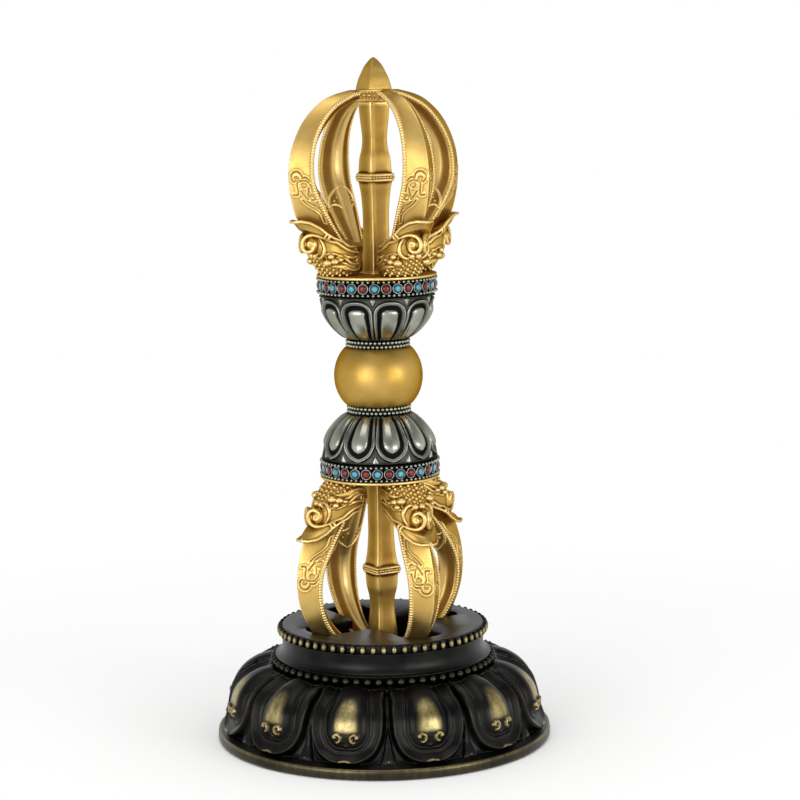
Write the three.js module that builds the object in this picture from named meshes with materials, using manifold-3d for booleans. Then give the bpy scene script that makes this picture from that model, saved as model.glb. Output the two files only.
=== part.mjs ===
// A five-pronged vajra standing in its lotus stand. Millimetres, +Z up, with the origin at the bottom centre
// of the stand. The outer prongs lie along +X, +Y, -X and -Y. The lower half is the upper half turned over.
import * as THREE from "three";
import { mergeVertices } from "three/addons/utils/BufferGeometryUtils.js";
import Module from "manifold-3d";

// Driving sizes of the vajra
const VAJRA_LENGTH = 200;
const BALL_RADIUS = 14.1;
const BALL_HEIGHT = 18.4;
const COLLAR_RADIUS = 10.3;
const COLLAR_HEIGHT = 2.6;
const BOWL_RADIUS = 18.6;
const BOWL_HEIGHT = 14.6;
const BOWL_PETALS = 10;
const PETAL_DEPTH = 1;
const BAND_HEIGHT = 5.2;
const STONES = 32;
const STONE_RADIUS = 1.35;
const DISC_HEIGHT = 0.9;
const CAGE_RADIUS = 31;
const PRONG_HALF_WIDTH = 5.6;
const CENTRE_PRONG_SIDE = 8;
const CROWN_WIDTH = 11.6;
const CROWN_HEIGHT = 3.7;
const FINIAL_HEIGHT = 10;
const ROD_RADIUS = 1.6;

// Driving sizes of the stand
const STAND_RADIUS = 53.5;
const STAND_PETALS = 12;
const STAND_PETAL_DEPTH = 1.6;
const STAND_RECESS_DEPTH = 0.9;
const BASE_HEIGHT = 24;
const NECK_HEIGHT = 9.6;
const NECK_RADIUS = 32.3;
const PLATE_THICKNESS = 2.9;
const SEAT_DEPTH = 20; // how far the vajra's lower tip reaches below the top of the plate

// Clearances
const GAP = 0.3; // between pieces whose touching faces are not flat and square to the axis
const SLOT_CLEARANCE = 0.7; // on each side of a prong in the plate
const ROD_CLEARANCE = 0.4;

// Heights in one half of the vajra, up from the middle of the ball
const COLLAR_BASE = BALL_HEIGHT / 2;
const BOWL_BASE = COLLAR_BASE + COLLAR_HEIGHT;
const BAND_BASE = BOWL_BASE + BOWL_HEIGHT;
const DISC_BASE = BAND_BASE + BAND_HEIGHT;
const CAGE_BASE = DISC_BASE + DISC_HEIGHT;

// Heights in one cage, up from the seat disc
const CAGE_HEIGHT = VAJRA_LENGTH / 2 - CAGE_BASE;
const FINIAL_BASE = CAGE_HEIGHT - FINIAL_HEIGHT;
const CROWN_BASE = FINIAL_BASE - CROWN_HEIGHT;
const TENON_END = FINIAL_BASE + FINIAL_HEIGHT * 0.3;
const ROD_REACH = CAGE_HEIGHT / 5;

// Other sizes that follow from the driving ones
const BAND_RADIUS = BOWL_RADIUS + 0.6;
const DISC_RADIUS = BAND_RADIUS - 0.2;
const CHANNEL_WIDTH = 2 * STONE_RADIUS + 0.6;
const CHANNEL_FLOOR = BAND_RADIUS - 1.7;
const BORE = ROD_RADIUS + ROD_CLEARANCE;
const TENON_RADIUS = CENTRE_PRONG_SIDE * 0.37;
const PLATE_BASE = BASE_HEIGHT + NECK_HEIGHT;
const PLATE_TOP = PLATE_BASE + PLATE_THICKNESS;
const MIDDLE = PLATE_TOP - SEAT_DEPTH + VAJRA_LENGTH / 2; // height of the middle of the ball

const wasm = await Module();
wasm.setup();

function toSolid(geometry) {
  const bare = geometry.clone();
  bare.deleteAttribute("normal");
  bare.deleteAttribute("uv");
  const merged = mergeVertices(bare, 1e-4);
  return new wasm.Manifold(
    new wasm.Mesh({
      numProp: 3,
      vertProperties: merged.attributes.position.array,
      triVerts: new Uint32Array(merged.index.array),
    }),
  );
}

function toGeometry(solid) {
  const mesh = solid.getMesh();
  return new THREE.BufferGeometry()
    .setAttribute("position", new THREE.BufferAttribute(mesh.vertProperties, 3))
    .setIndex(new THREE.BufferAttribute(mesh.triVerts, 1));
}

// A body turned about Z. Its outline of [radius, height] points runs anticlockwise, from the axis to the axis
// or round a ring's section. Where a point has a third item, grooveAt(angle, item) is its depth there.
function lathe(outline, segments, grooveAt) {
  const closed = outline[0][0] > 0 ? [...outline, outline[0]] : outline;
  const section = closed.map(([r, z]) => new THREE.Vector2(r, z));
  const geometry = new THREE.LatheGeometry(section, segments).rotateX(Math.PI / 2);
  const position = geometry.attributes.position;
  for (let i = 0; i < position.count; i++) {
    const [r, , petal] = closed[i % closed.length];
    if (!petal) continue;
    const [x, y] = [position.getX(i), position.getY(i)];
    const kept = 1 - grooveAt(Math.atan2(y, x), petal) / r;
    position.setXY(i, x * kept, y * kept);
  }
  return geometry;
}

// How deep a ring of petals lies below its rims and the crests of its lobes at an angle. half and lobe are
// the half widths of a petal's rim and lobe there, as shares of the way to the middle of the next gap.
function petalDepth(petals, angle, [half, lobe], groove, recess) {
  const turn = (angle * petals) / (2 * Math.PI);
  const across = Math.abs(turn - Math.round(turn)) * 2;
  const rim = 0.15;
  if (across > half) return groove * Math.min(1, (across - half) / (1 - half));
  if (across > half - rim) return 0;
  return across < lobe ? recess * (across / lobe) ** 4 : recess;
}

// A square bar or pyramid along Z from [side, height] points, with its flats facing along X and Y
function squareBar(stations) {
  const outline = stations.map(([side, z]) => [side / Math.SQRT2, z]);
  const [bottom, top] = [outline[0][1], outline[outline.length - 1][1]];
  return lathe([[0, bottom], ...outline, [0, top]], 4).rotateZ(Math.PI / 4);
}

function cylinder(radius, low, high) {
  return new THREE.CylinderGeometry(radius, radius, high - low, 12)
    .rotateX(Math.PI / 2)
    .translate(0, 0, (low + high) / 2);
}

// A body through rings of the same number of points, each anticlockwise seen from the end it runs to
function loft(rings) {
  const count = rings[0].length;
  const points = rings.flat();
  const faces = [];
  for (let k = 0; k + 1 < rings.length; k++)
    for (let i = 0; i < count; i++) {
      const a = k * count + i;
      const b = k * count + ((i + 1) % count);
      faces.push(a, b, b + count, a, b + count, a + count);
    }
  [0, rings.length - 1].forEach((k) => {
    points.push([0, 1, 2].map((axis) => rings[k].reduce((sum, p) => sum + p[axis], 0) / count));
    for (let i = 0; i < count; i++) {
      const a = k * count + i;
      const b = k * count + ((i + 1) % count);
      faces.push(points.length - 1, ...(k ? [a, b] : [b, a]));
    }
  });
  return new THREE.BufferGeometry()
    .setAttribute("position", new THREE.Float32BufferAttribute(points.flat(), 3))
    .setIndex(faces);
}

// The waist, in the heights of one half. The ball's girth is a flattened round.
function ball() {
  const rows = 9;
  const outer = Array.from({ length: rows }, (_, i) => {
    const level = (2 * i) / (rows - 1) - 1;
    return [BALL_RADIUS * Math.pow(1 - 0.535 * level ** 2, 0.4), COLLAR_BASE * level];
  });
  outer[0][0] = outer[rows - 1][0] = COLLAR_RADIUS - GAP;
  return lathe([[BORE, -COLLAR_BASE], ...outer, [BORE, COLLAR_BASE]], 32);
}

// Two rounded ribs, one for each bead row
function collar() {
  const step = COLLAR_HEIGHT / 4;
  const root = COLLAR_RADIUS - 0.6;
  return lathe(
    [
      [BORE, 0],
      [root, 0],
      [COLLAR_RADIUS, step],
      [root, 2 * step],
      [COLLAR_RADIUS, 3 * step],
      [root, 4 * step],
      [BORE, 4 * step],
    ],
    32,
  );
}

// How the bowl's radius grows from the collar to the band: share of radius, share of height, and the half
// widths of a petal's rim and lobe
const BOWL_LINE = [
  [0.55, 0],
  [0.67, 0.1, [0.9, 0]],
  [0.79, 0.25, [0.9, 0.2]],
  [0.89, 0.42, [0.92, 0.36]],
  [0.955, 0.6, [0.94, 0.42]],
  [0.975, 0.8, [0.94, 0.38]],
  [0.982, 0.9, [0.7, 0]],
  [0.99, 1],
];

function bowl() {
  const outer = BOWL_LINE.map(([out, up, petal]) => [out * BOWL_RADIUS, up * BOWL_HEIGHT, petal]);
  const pointsPerPetal = 12;
  const groove = (angle, petal) => petalDepth(BOWL_PETALS, angle, petal, PETAL_DEPTH, PETAL_DEPTH);
  return lathe([[BORE, 0], ...outer, [BORE, BOWL_HEIGHT]], pointsPerPetal * BOWL_PETALS, groove);
}

// The band has a channel round its middle that the stones sit in
function band() {
  const low = (BAND_HEIGHT - CHANNEL_WIDTH) / 2;
  const high = (BAND_HEIGHT + CHANNEL_WIDTH) / 2;
  return lathe(
    [
      [BORE, 0],
      [BAND_RADIUS - 0.5, 0],
      [BAND_RADIUS, low - 0.3],
      [BAND_RADIUS - 0.4, low],
      [CHANNEL_FLOOR, low],
      [CHANNEL_FLOOR, high],
      [BAND_RADIUS - 0.4, high],
      [BAND_RADIUS, high + 0.3],
      [BAND_RADIUS - 0.5, BAND_HEIGHT],
      [BORE, BAND_HEIGHT],
    ],
    36,
  );
}

// The round stones of one band, joined by the thin strip they are set on
function stoneRow() {
  const half = CHANNEL_WIDTH / 2 - GAP;
  const inner = CHANNEL_FLOOR + GAP;
  const face = inner + 0.7;
  const strip = lathe(
    [
      [inner, -half],
      [face, -half],
      [face, half],
      [inner, half],
    ],
    STONES,
  ).rotateZ(Math.PI / STONES);
  const stone = lathe(
    [
      [0, 0],
      [STONE_RADIUS * 0.98, 0],
      [STONE_RADIUS * 0.9, 0.7],
      [STONE_RADIUS * 0.5, 1.1],
      [0, 1.15],
    ],
    6,
  )
    .rotateY(Math.PI / 2)
    .translate(face - 0.2, 0, 0);
  let row = toSolid(strip);
  for (let i = 0; i < STONES; i++)
    row = row.add(toSolid(stone.clone().rotateZ((i / STONES) * 2 * Math.PI)));
  return toGeometry(row);
}

function seatDisc() {
  return lathe(
    [
      [BORE, 0],
      [DISC_RADIUS - 0.2, 0],
      [DISC_RADIUS, DISC_HEIGHT / 2],
      [DISC_RADIUS - 0.2, DISC_HEIGHT],
      [BORE, DISC_HEIGHT],
    ],
    36,
  );
}

// The cages. Radii below are for a cage of 31 and heights for one of 67.5, and follow the driving sizes.
const out = (r) => (r * CAGE_RADIUS) / 31;
const up = (z) => (z * CAGE_HEIGHT) / 67.5;

// The open mouth of a head is a slanting plane, low at the axis and high at the upturned lip.
const MOUTH_INNER = [out(7.8), up(8.1)];
const MOUTH_OUTER = [out(31.4), up(16.6)];
const LIP_CURL = 1.6; // how far the tip of the upper lip turns up from that plane
const MOUTH_DEPTH = 1; // how far the floor of the mouth lies below it
const mouthHeight = (r) =>
  THREE.MathUtils.mapLinear(r, MOUTH_INNER[0], MOUTH_OUTER[0], MOUTH_INNER[1], MOUTH_OUTER[1]);

// A makara head: slices from the disc up to the mouth, each with its inner end, outer end and half width
function head() {
  const slices = [
    [9.0, 0, 18.2, 0, 5.0],
    [8.6, 1.5, 19.8, 1.7, 6.3],
    [8.6, 3.5, 21.6, 4.1, 7.0],
    [8.8, 5.3, 24.0, 7.1, 7.4],
    [8.6, 6.5, 27.2, 9.7, 7.3],
    [8.2, 7.3, 28.3, 11.9, 7.0],
    [8.0, 7.7, 28.2, 14.0, 6.8],
  ].map(([r0, z0, r1, z1, half]) => [out(r0), up(z0), out(r1), up(z1), out(half)]);
  slices.push([...MOUTH_INNER, ...MOUTH_OUTER, out(6.8)]);
  const [back, front] = [out(10), out(28.6)];
  const floorHeight = (r) => mouthHeight(r) - MOUTH_DEPTH;
  slices.push([back, floorHeight(back), front, floorHeight(front), out(5.6)]);
  const around = 14;
  const lip = slices.length - 2;
  return loft(
    slices.map(([r0, z0, r1, z1, half], k) =>
      Array.from({ length: around }, (_, i) => {
        const angle = (i / around) * 2 * Math.PI;
        const along = (1 + Math.cos(angle)) / 2;
        const curl = k === lip ? LIP_CURL * Math.max(0, Math.cos(angle)) ** 4 : 0;
        return [r0 + (r1 - r0) * along, half * Math.sin(angle), z0 + (z1 - z0) * along + curl];
      }),
    ),
  );
}

// The long edges of an outer prong from the mouth to the crown, as smooth curves through
// [radius, height, share of the half width] points
function prongEdge(points) {
  const places = points.map(([r, z, share]) => new THREE.Vector3(out(r), share * PRONG_HALF_WIDTH, up(z)));
  return new THREE.CatmullRomCurve3(places, false, "catmullrom");
}
const OUTER_RIDGE = prongEdge([
  [29.2, 20.0, 0],
  [31.0, 28.5, 0],
  [30.3, 38.4, 0],
  [25.8, 47.9, 0],
  [18.4, 54.5, 0],
  [10.0, 57.2, 0],
]);
const SIDE_EDGE = prongEdge([
  [20.4, 19.4, 0.89],
  [25.0, 28.7, 1],
  [25.1, 37.7, 0.93],
  [22.1, 45.4, 0.79],
  [16.6, 51.8, 0.67],
  [9.6, 55.4, 0.55],
]);
const INNER_RIDGE = prongEdge([
  [16.8, 19.5, 0.22],
  [22.4, 29.0, 0.25],
  [22.8, 37.3, 0.24],
  [20.2, 44.0, 0.21],
  [15.1, 49.8, 0.18],
  [9.1, 53.4, 0.14],
]);

// Lozenge sections with a milled flat along each side. It starts in the mouth and ends at the crown collar.
function prong() {
  const steps = 10;
  const stations = Array.from({ length: steps + 1 }, (_, i) =>
    [OUTER_RIDGE, SIDE_EDGE, INNER_RIDGE].map((edge) => edge.getPoint(i / steps)),
  );
  const foot = (r, half) => new THREE.Vector3(out(r), half, mouthHeight(out(r)) - MOUTH_DEPTH + GAP * 1.06);
  stations.unshift([foot(27.3, 0), foot(13, PRONG_HALF_WIDTH * 0.47), foot(11, PRONG_HALF_WIDTH * 0.12)]);
  const crown = (below, half) => new THREE.Vector3(CROWN_WIDTH / 2 + GAP, half, FINIAL_BASE - below);
  stations.push([crown(0.1, 0), crown(1.4, PRONG_HALF_WIDTH * 0.47), crown(3.1, PRONG_HALF_WIDTH * 0.12)]);
  return loft(
    stations.map(([ridge, side, inner], i) => {
      const flat = ridge.clone().sub(inner).setY(0).setLength(i === 0 ? 0.3 : 0.5);
      const [above, below] = [side.clone().add(flat), side.clone().sub(flat)];
      return [
        [ridge.x, 0, ridge.z],
        [above.x, above.y, above.z],
        [below.x, below.y, below.z],
        [inner.x, inner.y, inner.z],
        [inner.x, -inner.y, inner.z],
        [below.x, -below.y, below.z],
        [above.x, -above.y, above.z],
      ];
    }),
  );
}

// The square centre prong with its ring, and a round tenon that the crown collar and the finial sit on
function centreProng() {
  const shaft = squareBar(
    [
      [1, 0],
      [0.84, up(1.5)],
      [0.79, up(18.2)],
      [1, up(28.4)],
      [1.15, up(29.2)],
      [1.15, up(31)],
      [1, up(31.8)],
      [0.94, up(35.8)],
      [0.8, up(38.6)],
      [0.74, up(42.3)],
      [0.89, up(49.8)],
      [0.94, CROWN_BASE],
    ].map(([share, z]) => [share * CENTRE_PRONG_SIDE, z]),
  );
  const tenon = cylinder(TENON_RADIUS, CROWN_BASE - 1, TENON_END - GAP);
  const bore = cylinder(BORE, -1, ROD_REACH + GAP);
  return toGeometry(toSolid(shaft).add(toSolid(tenon)).subtract(toSolid(bore)));
}

function crownCollar() {
  const outer = CROWN_WIDTH / 2 / Math.cos(Math.PI / 8);
  const inner = TENON_RADIUS + GAP;
  const edge = 0.5;
  return lathe(
    [
      [inner, 0],
      [outer - edge, 0],
      [outer, edge],
      [outer, CROWN_HEIGHT - edge],
      [outer - edge, CROWN_HEIGHT],
      [inner, CROWN_HEIGHT],
    ],
    8,
  ).rotateZ(Math.PI / 8);
}

function finial() {
  const pyramid = squareBar(
    [
      [1.0, 0],
      [1.05, 0.02],
      [0.99, 0.16],
      [0.88, 0.35],
      [0.72, 0.53],
      [0.54, 0.72],
      [0.25, 0.91],
      [0.03, 1],
    ].map(([side, share]) => [side * CENTRE_PRONG_SIDE, share * FINIAL_HEIGHT]),
  );
  const socket = cylinder(TENON_RADIUS + GAP, -1, TENON_END - FINIAL_BASE);
  return toGeometry(toSolid(pyramid).subtract(toSolid(socket)));
}

function tieRod() {
  return cylinder(ROD_RADIUS, -CAGE_BASE - ROD_REACH, CAGE_BASE + ROD_REACH);
}

// The stand. Radii below are for a base of 53.5 and heights for one of 24, and follow the driving sizes.
const wide = (r) => (r * STAND_RADIUS) / 53.5;
const tall = (z) => (z * BASE_HEIGHT) / 24;

// The outside of the lotus casting, with the half widths of a petal's rim and lobe
const LOTUS_LINE = [
  [53.5, 0],
  [53.5, 4.0],
  [52.4, 4.7],
  [51.9, 6.4, [0.45, 0]],
  [51.3, 8.0, [0.68, 0]],
  [50.6, 9.5, [0.78, 0]],
  [50.1, 11.6, [0.86, 0.3]],
  [49.8, 13.5, [0.88, 0.42]],
  [48.6, 17.4, [0.88, 0.36]],
  [46.2, 20.6, [0.88, 0.24]],
  [43.0, 22.9, [0.86, 0.1]],
  [40.0, 24.2],
];

// The hollow lotus casting: foot flange, ring of petals, flat seat for the neck, and an open underside
function lotusBase() {
  const seatInner = NECK_RADIUS - 1.9;
  const seatOuter = NECK_RADIUS + 4.3;
  const pointsPerPetal = 16;
  const firstPetal = Math.PI / STAND_PETALS;
  const groove = (angle, petal) =>
    petalDepth(STAND_PETALS, angle - firstPetal, petal, STAND_PETAL_DEPTH, STAND_RECESS_DEPTH);
  return lathe(
    [
      [wide(50.5), 0],
      ...LOTUS_LINE.map(([r, z, petal]) => [wide(r), tall(z), petal]),
      [seatOuter + 0.6, tall(24.9)],
      [seatOuter, BASE_HEIGHT],
      [seatInner, BASE_HEIGHT],
      [seatInner, BASE_HEIGHT - 3],
      [wide(41.5), tall(18.5)],
      [wide(45), tall(7)],
    ],
    pointsPerPetal * STAND_PETALS,
    groove,
  );
}

// A hollow drum with a bead ring round its foot
function neck() {
  const inner = NECK_RADIUS - 2.3;
  return lathe(
    [
      [inner, 0],
      [NECK_RADIUS + 2.4, 0],
      [NECK_RADIUS + 3.9, 1],
      [NECK_RADIUS + 3.9, 2],
      [NECK_RADIUS + 2.4, 3],
      [NECK_RADIUS + 0.7, 0.4 * NECK_HEIGHT],
      [NECK_RADIUS, 0.65 * NECK_HEIGHT],
      [NECK_RADIUS + 0.3, NECK_HEIGHT],
      [inner, NECK_HEIGHT],
    ],
    40,
  );
}

// The cross-shaped opening: an arm for each prong, with its outer corners cut off and a tongue of the plate
// left between two arms
function crossShape() {
  const levelInCage = VAJRA_LENGTH / 2 - SEAT_DEPTH - CAGE_BASE;
  const steps = 100;
  const ridge = OUTER_RIDGE.getPoints(steps).find((point) => point.z >= levelInCage);
  const reach = ridge.x + GAP;
  const arm = PRONG_HALF_WIDTH + SLOT_CLEARANCE;
  const tongue = arm * 1.12;
  const quarter = [
    [reach, -arm * 0.55],
    [reach, arm * 0.55],
    [reach - 1.2, arm],
    [tongue + 3, arm],
    [tongue, tongue],
    [arm, tongue + 3],
    [arm, reach - 1.2],
  ].map(([x, y]) => new THREE.Vector2(x, y));
  const axis = new THREE.Vector2();
  const turns = [0, 1, 2, 3].map((i) => (i * Math.PI) / 2);
  return new THREE.Shape(turns.flatMap((turn) => quarter.map((p) => p.clone().rotateAround(axis, turn))));
}

// The top plate with its bead rim and the opening that the lower prongs stand in
function plate() {
  const edge = NECK_RADIUS + 1.7;
  const disc = lathe(
    [
      [0, 0],
      [edge - 1, 0],
      [edge, 1],
      [edge, PLATE_THICKNESS - 0.8],
      [edge - 1, PLATE_THICKNESS],
      [0, PLATE_THICKNESS],
    ],
    40,
  );
  const depth = PLATE_THICKNESS + 2;
  const cutter = new THREE.ExtrudeGeometry(crossShape(), { depth, bevelEnabled: false });
  return toGeometry(toSolid(disc).subtract(toSolid(cutter.translate(0, 0, -1))));
}

// Finishes
const metal = (color, roughness, metalness = 1) =>
  new THREE.MeshStandardMaterial({ color, roughness, metalness });
const gold = () => metal(0xc99a3c, 0.35);
const silver = () => metal(0x9c9d92, 0.4);
const bronze = () => metal(0x23211e, 0.5, 0.6);
const steel = () => metal(0x8a8d90, 0.4);
const stones = () => metal(0x4fb4c4, 0.3, 0);

function place(group, name, geometry, material, height = 0) {
  const mesh = new THREE.Mesh(geometry, material);
  mesh.name = name;
  mesh.position.z = height;
  group.add(mesh);
}

// The centre prong with its crown, and a head and a prong on each side. handed is 1, or -1 in the half that
// is turned over about X, where the sides run round the other way.
function cage(end, handed) {
  const group = new THREE.Group();
  place(group, end + "_centre_prong", centreProng(), gold());
  place(group, end + "_crown_collar", crownCollar(), gold(), CROWN_BASE);
  place(group, end + "_finial", finial(), gold(), FINIAL_BASE);
  ["east", "north", "west", "south"].forEach((name, i) => {
    const side = new THREE.Group();
    side.rotation.z = (handed * i * Math.PI) / 2;
    place(side, end + "_makara_" + name, head(), gold());
    place(side, end + "_prong_" + name, prong(), gold());
    group.add(side);
  });
  return group;
}

function halfVajra(end, handed) {
  const group = new THREE.Group();
  place(group, end + "_waist_collar", collar(), silver(), COLLAR_BASE);
  place(group, end + "_lotus_bowl", bowl(), silver(), BOWL_BASE);
  place(group, end + "_jewel_band", band(), silver(), BAND_BASE);
  place(group, end + "_stone_row", stoneRow(), stones(), BAND_BASE + BAND_HEIGHT / 2);
  place(group, end + "_seat_disc", seatDisc(), gold(), DISC_BASE);
  const prongs = cage(end, handed);
  prongs.position.z = CAGE_BASE;
  group.add(prongs);
  return group;
}

function vajra() {
  const group = new THREE.Group();
  place(group, "centre_ball", ball(), gold());
  place(group, "tie_rod", tieRod(), steel());
  const lower = halfVajra("lower", -1);
  lower.rotation.x = Math.PI;
  group.add(halfVajra("upper", 1), lower);
  return group;
}

function stand() {
  const group = new THREE.Group();
  place(group, "lotus_base", lotusBase(), bronze());
  place(group, "neck_drum", neck(), bronze(), BASE_HEIGHT);
  place(group, "top_plate", plate(), bronze(), PLATE_BASE);
  return group;
}

const seated = vajra();
seated.position.z = MIDDLE;
const root = new THREE.Group();
root.add(stand(), seated);

export default root;
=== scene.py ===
"""The visual model of a five-pronged vajra in its lotus stand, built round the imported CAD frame.

Shapes are written in millimetres. A piece of the vajra is made in the heights of its upper half, up from the
middle of the ball, and is turned over for the lower half. A piece of the stand is made where it stands.
"""
import math
from collections import namedtuple

import bpy
import numpy as np
from mathutils import Matrix, Vector


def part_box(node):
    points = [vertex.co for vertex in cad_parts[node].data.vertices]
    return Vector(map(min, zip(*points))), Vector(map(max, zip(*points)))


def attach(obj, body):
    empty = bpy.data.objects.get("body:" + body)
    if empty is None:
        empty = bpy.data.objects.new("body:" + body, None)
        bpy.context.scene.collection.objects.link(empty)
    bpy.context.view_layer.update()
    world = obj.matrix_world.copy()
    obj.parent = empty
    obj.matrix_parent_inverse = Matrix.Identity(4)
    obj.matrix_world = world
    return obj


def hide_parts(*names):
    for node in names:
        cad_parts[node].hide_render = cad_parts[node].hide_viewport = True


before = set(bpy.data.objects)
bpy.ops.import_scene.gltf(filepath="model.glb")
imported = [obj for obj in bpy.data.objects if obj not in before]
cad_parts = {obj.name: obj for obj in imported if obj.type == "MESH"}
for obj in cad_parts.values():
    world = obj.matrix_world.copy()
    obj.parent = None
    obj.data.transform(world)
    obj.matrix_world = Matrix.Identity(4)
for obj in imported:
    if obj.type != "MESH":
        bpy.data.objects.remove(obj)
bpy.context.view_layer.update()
MM = 0.001
FULL_TURN = 2 * math.pi
QUARTER_TURN = math.pi / 2


# Sizes read from the frame
def box(node):
    low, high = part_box(node)
    return np.array(low) / MM, np.array(high) / MM


def heights(node):
    """The lowest and highest point of a piece."""
    low, high = box(node)
    return float(low[2]), float(high[2])


MIDDLE = sum(heights("centre_ball")) / 2


def half_heights(node):
    """The lowest and highest point of a piece, up from the middle of the ball."""
    return [height - MIDDLE for height in heights(node)]


def reach(node):
    return float(box(node)[1][0])


BALL_RADIUS = reach("centre_ball")
COLLAR_RADIUS = reach("upper_waist_collar")
COLLAR_BASE, BOWL_BASE = half_heights("upper_waist_collar")
BAND_BASE, DISC_BASE = half_heights("upper_jewel_band")
BAND_RADIUS = reach("upper_jewel_band")
CAGE_BASE = half_heights("upper_seat_disc")[1]
DISC_RADIUS = reach("upper_seat_disc")
CROWN_BASE, FINIAL_BASE = half_heights("upper_crown_collar")
CROWN_WIDTH = 2 * reach("upper_crown_collar")
TIP = half_heights("upper_finial")[1]
STAND_RADIUS = reach("lotus_base")
BASE_TOP, NECK_TOP = heights("neck_drum")
PLATE_TOP = heights("top_plate")[1]
PLATE_RADIUS = reach("top_plate")
NECK_RADIUS = PLATE_RADIUS - 1.7

# Other sizes and counts, as in the CAD model
BORE = 2.0  # radius of the hole for the tie rod
BOWL_RADIUS = 18.6
BOWL_PETALS = 10
STONES = 32
STONE_RADIUS = 1.35
PRONG_HALF_WIDTH = 5.6
CENTRE_PRONG_SIDE = 8.0
STAND_PETALS = 12

# Counts of beads
COLLAR_BEADS = 44
BAND_BEADS = 72
STAND_BEADS = 64

SIDES = ("east", "north", "west", "south")
ENDS = ("upper", "lower")

Shape = namedtuple("Shape", "points quads tris", defaults=[np.zeros((0, 3), int)])


# Paths
def angles(count):
    """Angles at even steps round a full turn."""
    return np.arange(count) * FULL_TURN / count


def smooth_path(points, count):
    """A uniform Catmull-Rom curve through the points, as part.mjs draws the prongs' edges."""
    given = np.array(points, float)
    knots = np.vstack([2 * given[0] - given[1], given, 2 * given[-1] - given[-2]])
    place = np.linspace(0, len(given) - 1, count)
    first = np.minimum(place.astype(int), len(given) - 2)
    t = (place - first)[:, None]
    a, b, c, d = (knots[first + k] for k in range(4))
    return 0.5 * (2 * b + (c - a) * t + (2 * a - 5 * b + 4 * c - d) * t**2 + (3 * b - a - 3 * c + d) * t**3)


def sample(points, shares):
    """The rows of a smooth path at shares of the way through its knots."""
    dense = smooth_path(points, 400)
    place = shares * (len(dense) - 1)
    return np.stack([np.interp(place, np.arange(len(dense)), column) for column in dense.T], axis=-1)


def arc_lengths(path):
    steps = np.linalg.norm(np.diff(path, axis=0), axis=1)
    return np.concatenate([[0], np.cumsum(steps)])


def evenly(path, spacing):
    """The same path with points about that far apart."""
    along = arc_lengths(path)
    count = round(along[-1] / spacing) + 1
    place = np.linspace(0, along[-1], count)
    return np.stack([np.interp(place, along, column) for column in path.T], axis=1)


def curl(centre, start_angle, turns, outer, inner, count):
    """A plane spiral from its outer end inwards, as [x, y] points. Turns below 0 run clockwise."""
    share = np.linspace(0, 1, count)
    angle = start_angle + FULL_TURN * turns * share
    radius = outer + (inner - outer) * share
    return centre + np.stack([radius * np.cos(angle), radius * np.sin(angle)], axis=1)


def look_up(table, value):
    """The result for a value in a table of [value, result] rows, with straight lines between the rows."""
    return np.interp(value, *zip(*table))


def swelling(count, *stops):
    """A bar's radius at each of its points, from [share of its length, radius] stops."""
    return look_up(stops, np.linspace(0, 1, count))


def distance_to(strokes, x, y):
    """How far each grid point is from the nearest of the polylines."""
    nearest = np.full(x.shape, 1e9)
    for stroke in strokes:
        for (ax, ay), (bx, by) in zip(stroke[:-1], stroke[1:]):
            dx, dy = bx - ax, by - ay
            share = np.clip(((x - ax) * dx + (y - ay) * dy) / (dx * dx + dy * dy + 1e-12), 0, 1)
            nearest = np.minimum(nearest, (x - ax - share * dx) ** 2 + (y - ay - share * dy) ** 2)
    return np.sqrt(nearest)


def smoothstep(value, low, high):
    share = np.clip((value - low) / (high - low), 0, 1)
    return share * share * (3 - 2 * share)


def fade(value, low, high):
    return 1 - smoothstep(value, low, high)


def toward(value, target, share):
    return value * (1 - share) + target * share


def unit(vectors):
    return vectors / (np.linalg.norm(vectors, axis=-1, keepdims=True) + 1e-12)


# Shapes
def round_axis(radius, angle, height):
    """Points at a distance from the axis, an angle round it and a height."""
    return np.stack(np.broadcast_arrays(radius * np.cos(angle), radius * np.sin(angle), height), axis=-1)


def from_axis(points):
    return np.hypot(points[:, 0], points[:, 1])


def about_z(angle):
    c, s = math.cos(angle), math.sin(angle)
    return np.array([[c, -s, 0], [s, c, 0], [0, 0, 1]])


def skin(rows, columns, closed=False):
    """Quads between rings of points that run anticlockwise, each ring above the last. A closed skin also
    joins the last ring to the first."""
    row = np.arange(rows if closed else rows - 1)[:, None]
    column = np.arange(columns)[None, :]
    row_after, column_after = (row + 1) % rows, (column + 1) % columns
    corners = [(row, column), (row, column_after), (row_after, column_after), (row_after, column)]
    return np.stack([(r * columns + c).ravel() for r, c in corners], axis=1)


def looped(rings):
    """A body through rings of points whose last ring joins its first."""
    rows, columns, _ = rings.shape
    return Shape(rings.reshape(-1, 3), skin(rows, columns, closed=True))


def capped(rings):
    """A body through rings of points, closed at both ends by a fan."""
    rows, columns, _ = rings.shape
    points = np.vstack([rings.reshape(-1, 3), rings[0].mean(axis=0), rings[-1].mean(axis=0)])
    side = np.arange(columns)
    after = (side + 1) % columns
    last = (rows - 1) * columns
    bottom = np.stack([after, side, np.full(columns, rows * columns)], axis=1)
    top = np.stack([side + last, after + last, np.full(columns, rows * columns + 1)], axis=1)
    return Shape(points, skin(rows, columns), np.vstack([bottom, top]))


def join(shapes):
    starts = np.cumsum([0] + [len(shape.points) for shape in shapes])
    quads = [shape.quads + start for shape, start in zip(shapes, starts)]
    tris = [shape.tris + start for shape, start in zip(shapes, starts)]
    return Shape(np.vstack([shape.points for shape in shapes]), np.vstack(quads), np.vstack(tris))


def moved(shape, shift):
    return shape._replace(points=shape.points + shift)


def mirrored(shape):
    """The shape's other self on the far side of the XZ plane."""
    return Shape(shape.points * [1, -1, 1], shape.quads[:, ::-1], shape.tris[:, ::-1])


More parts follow.
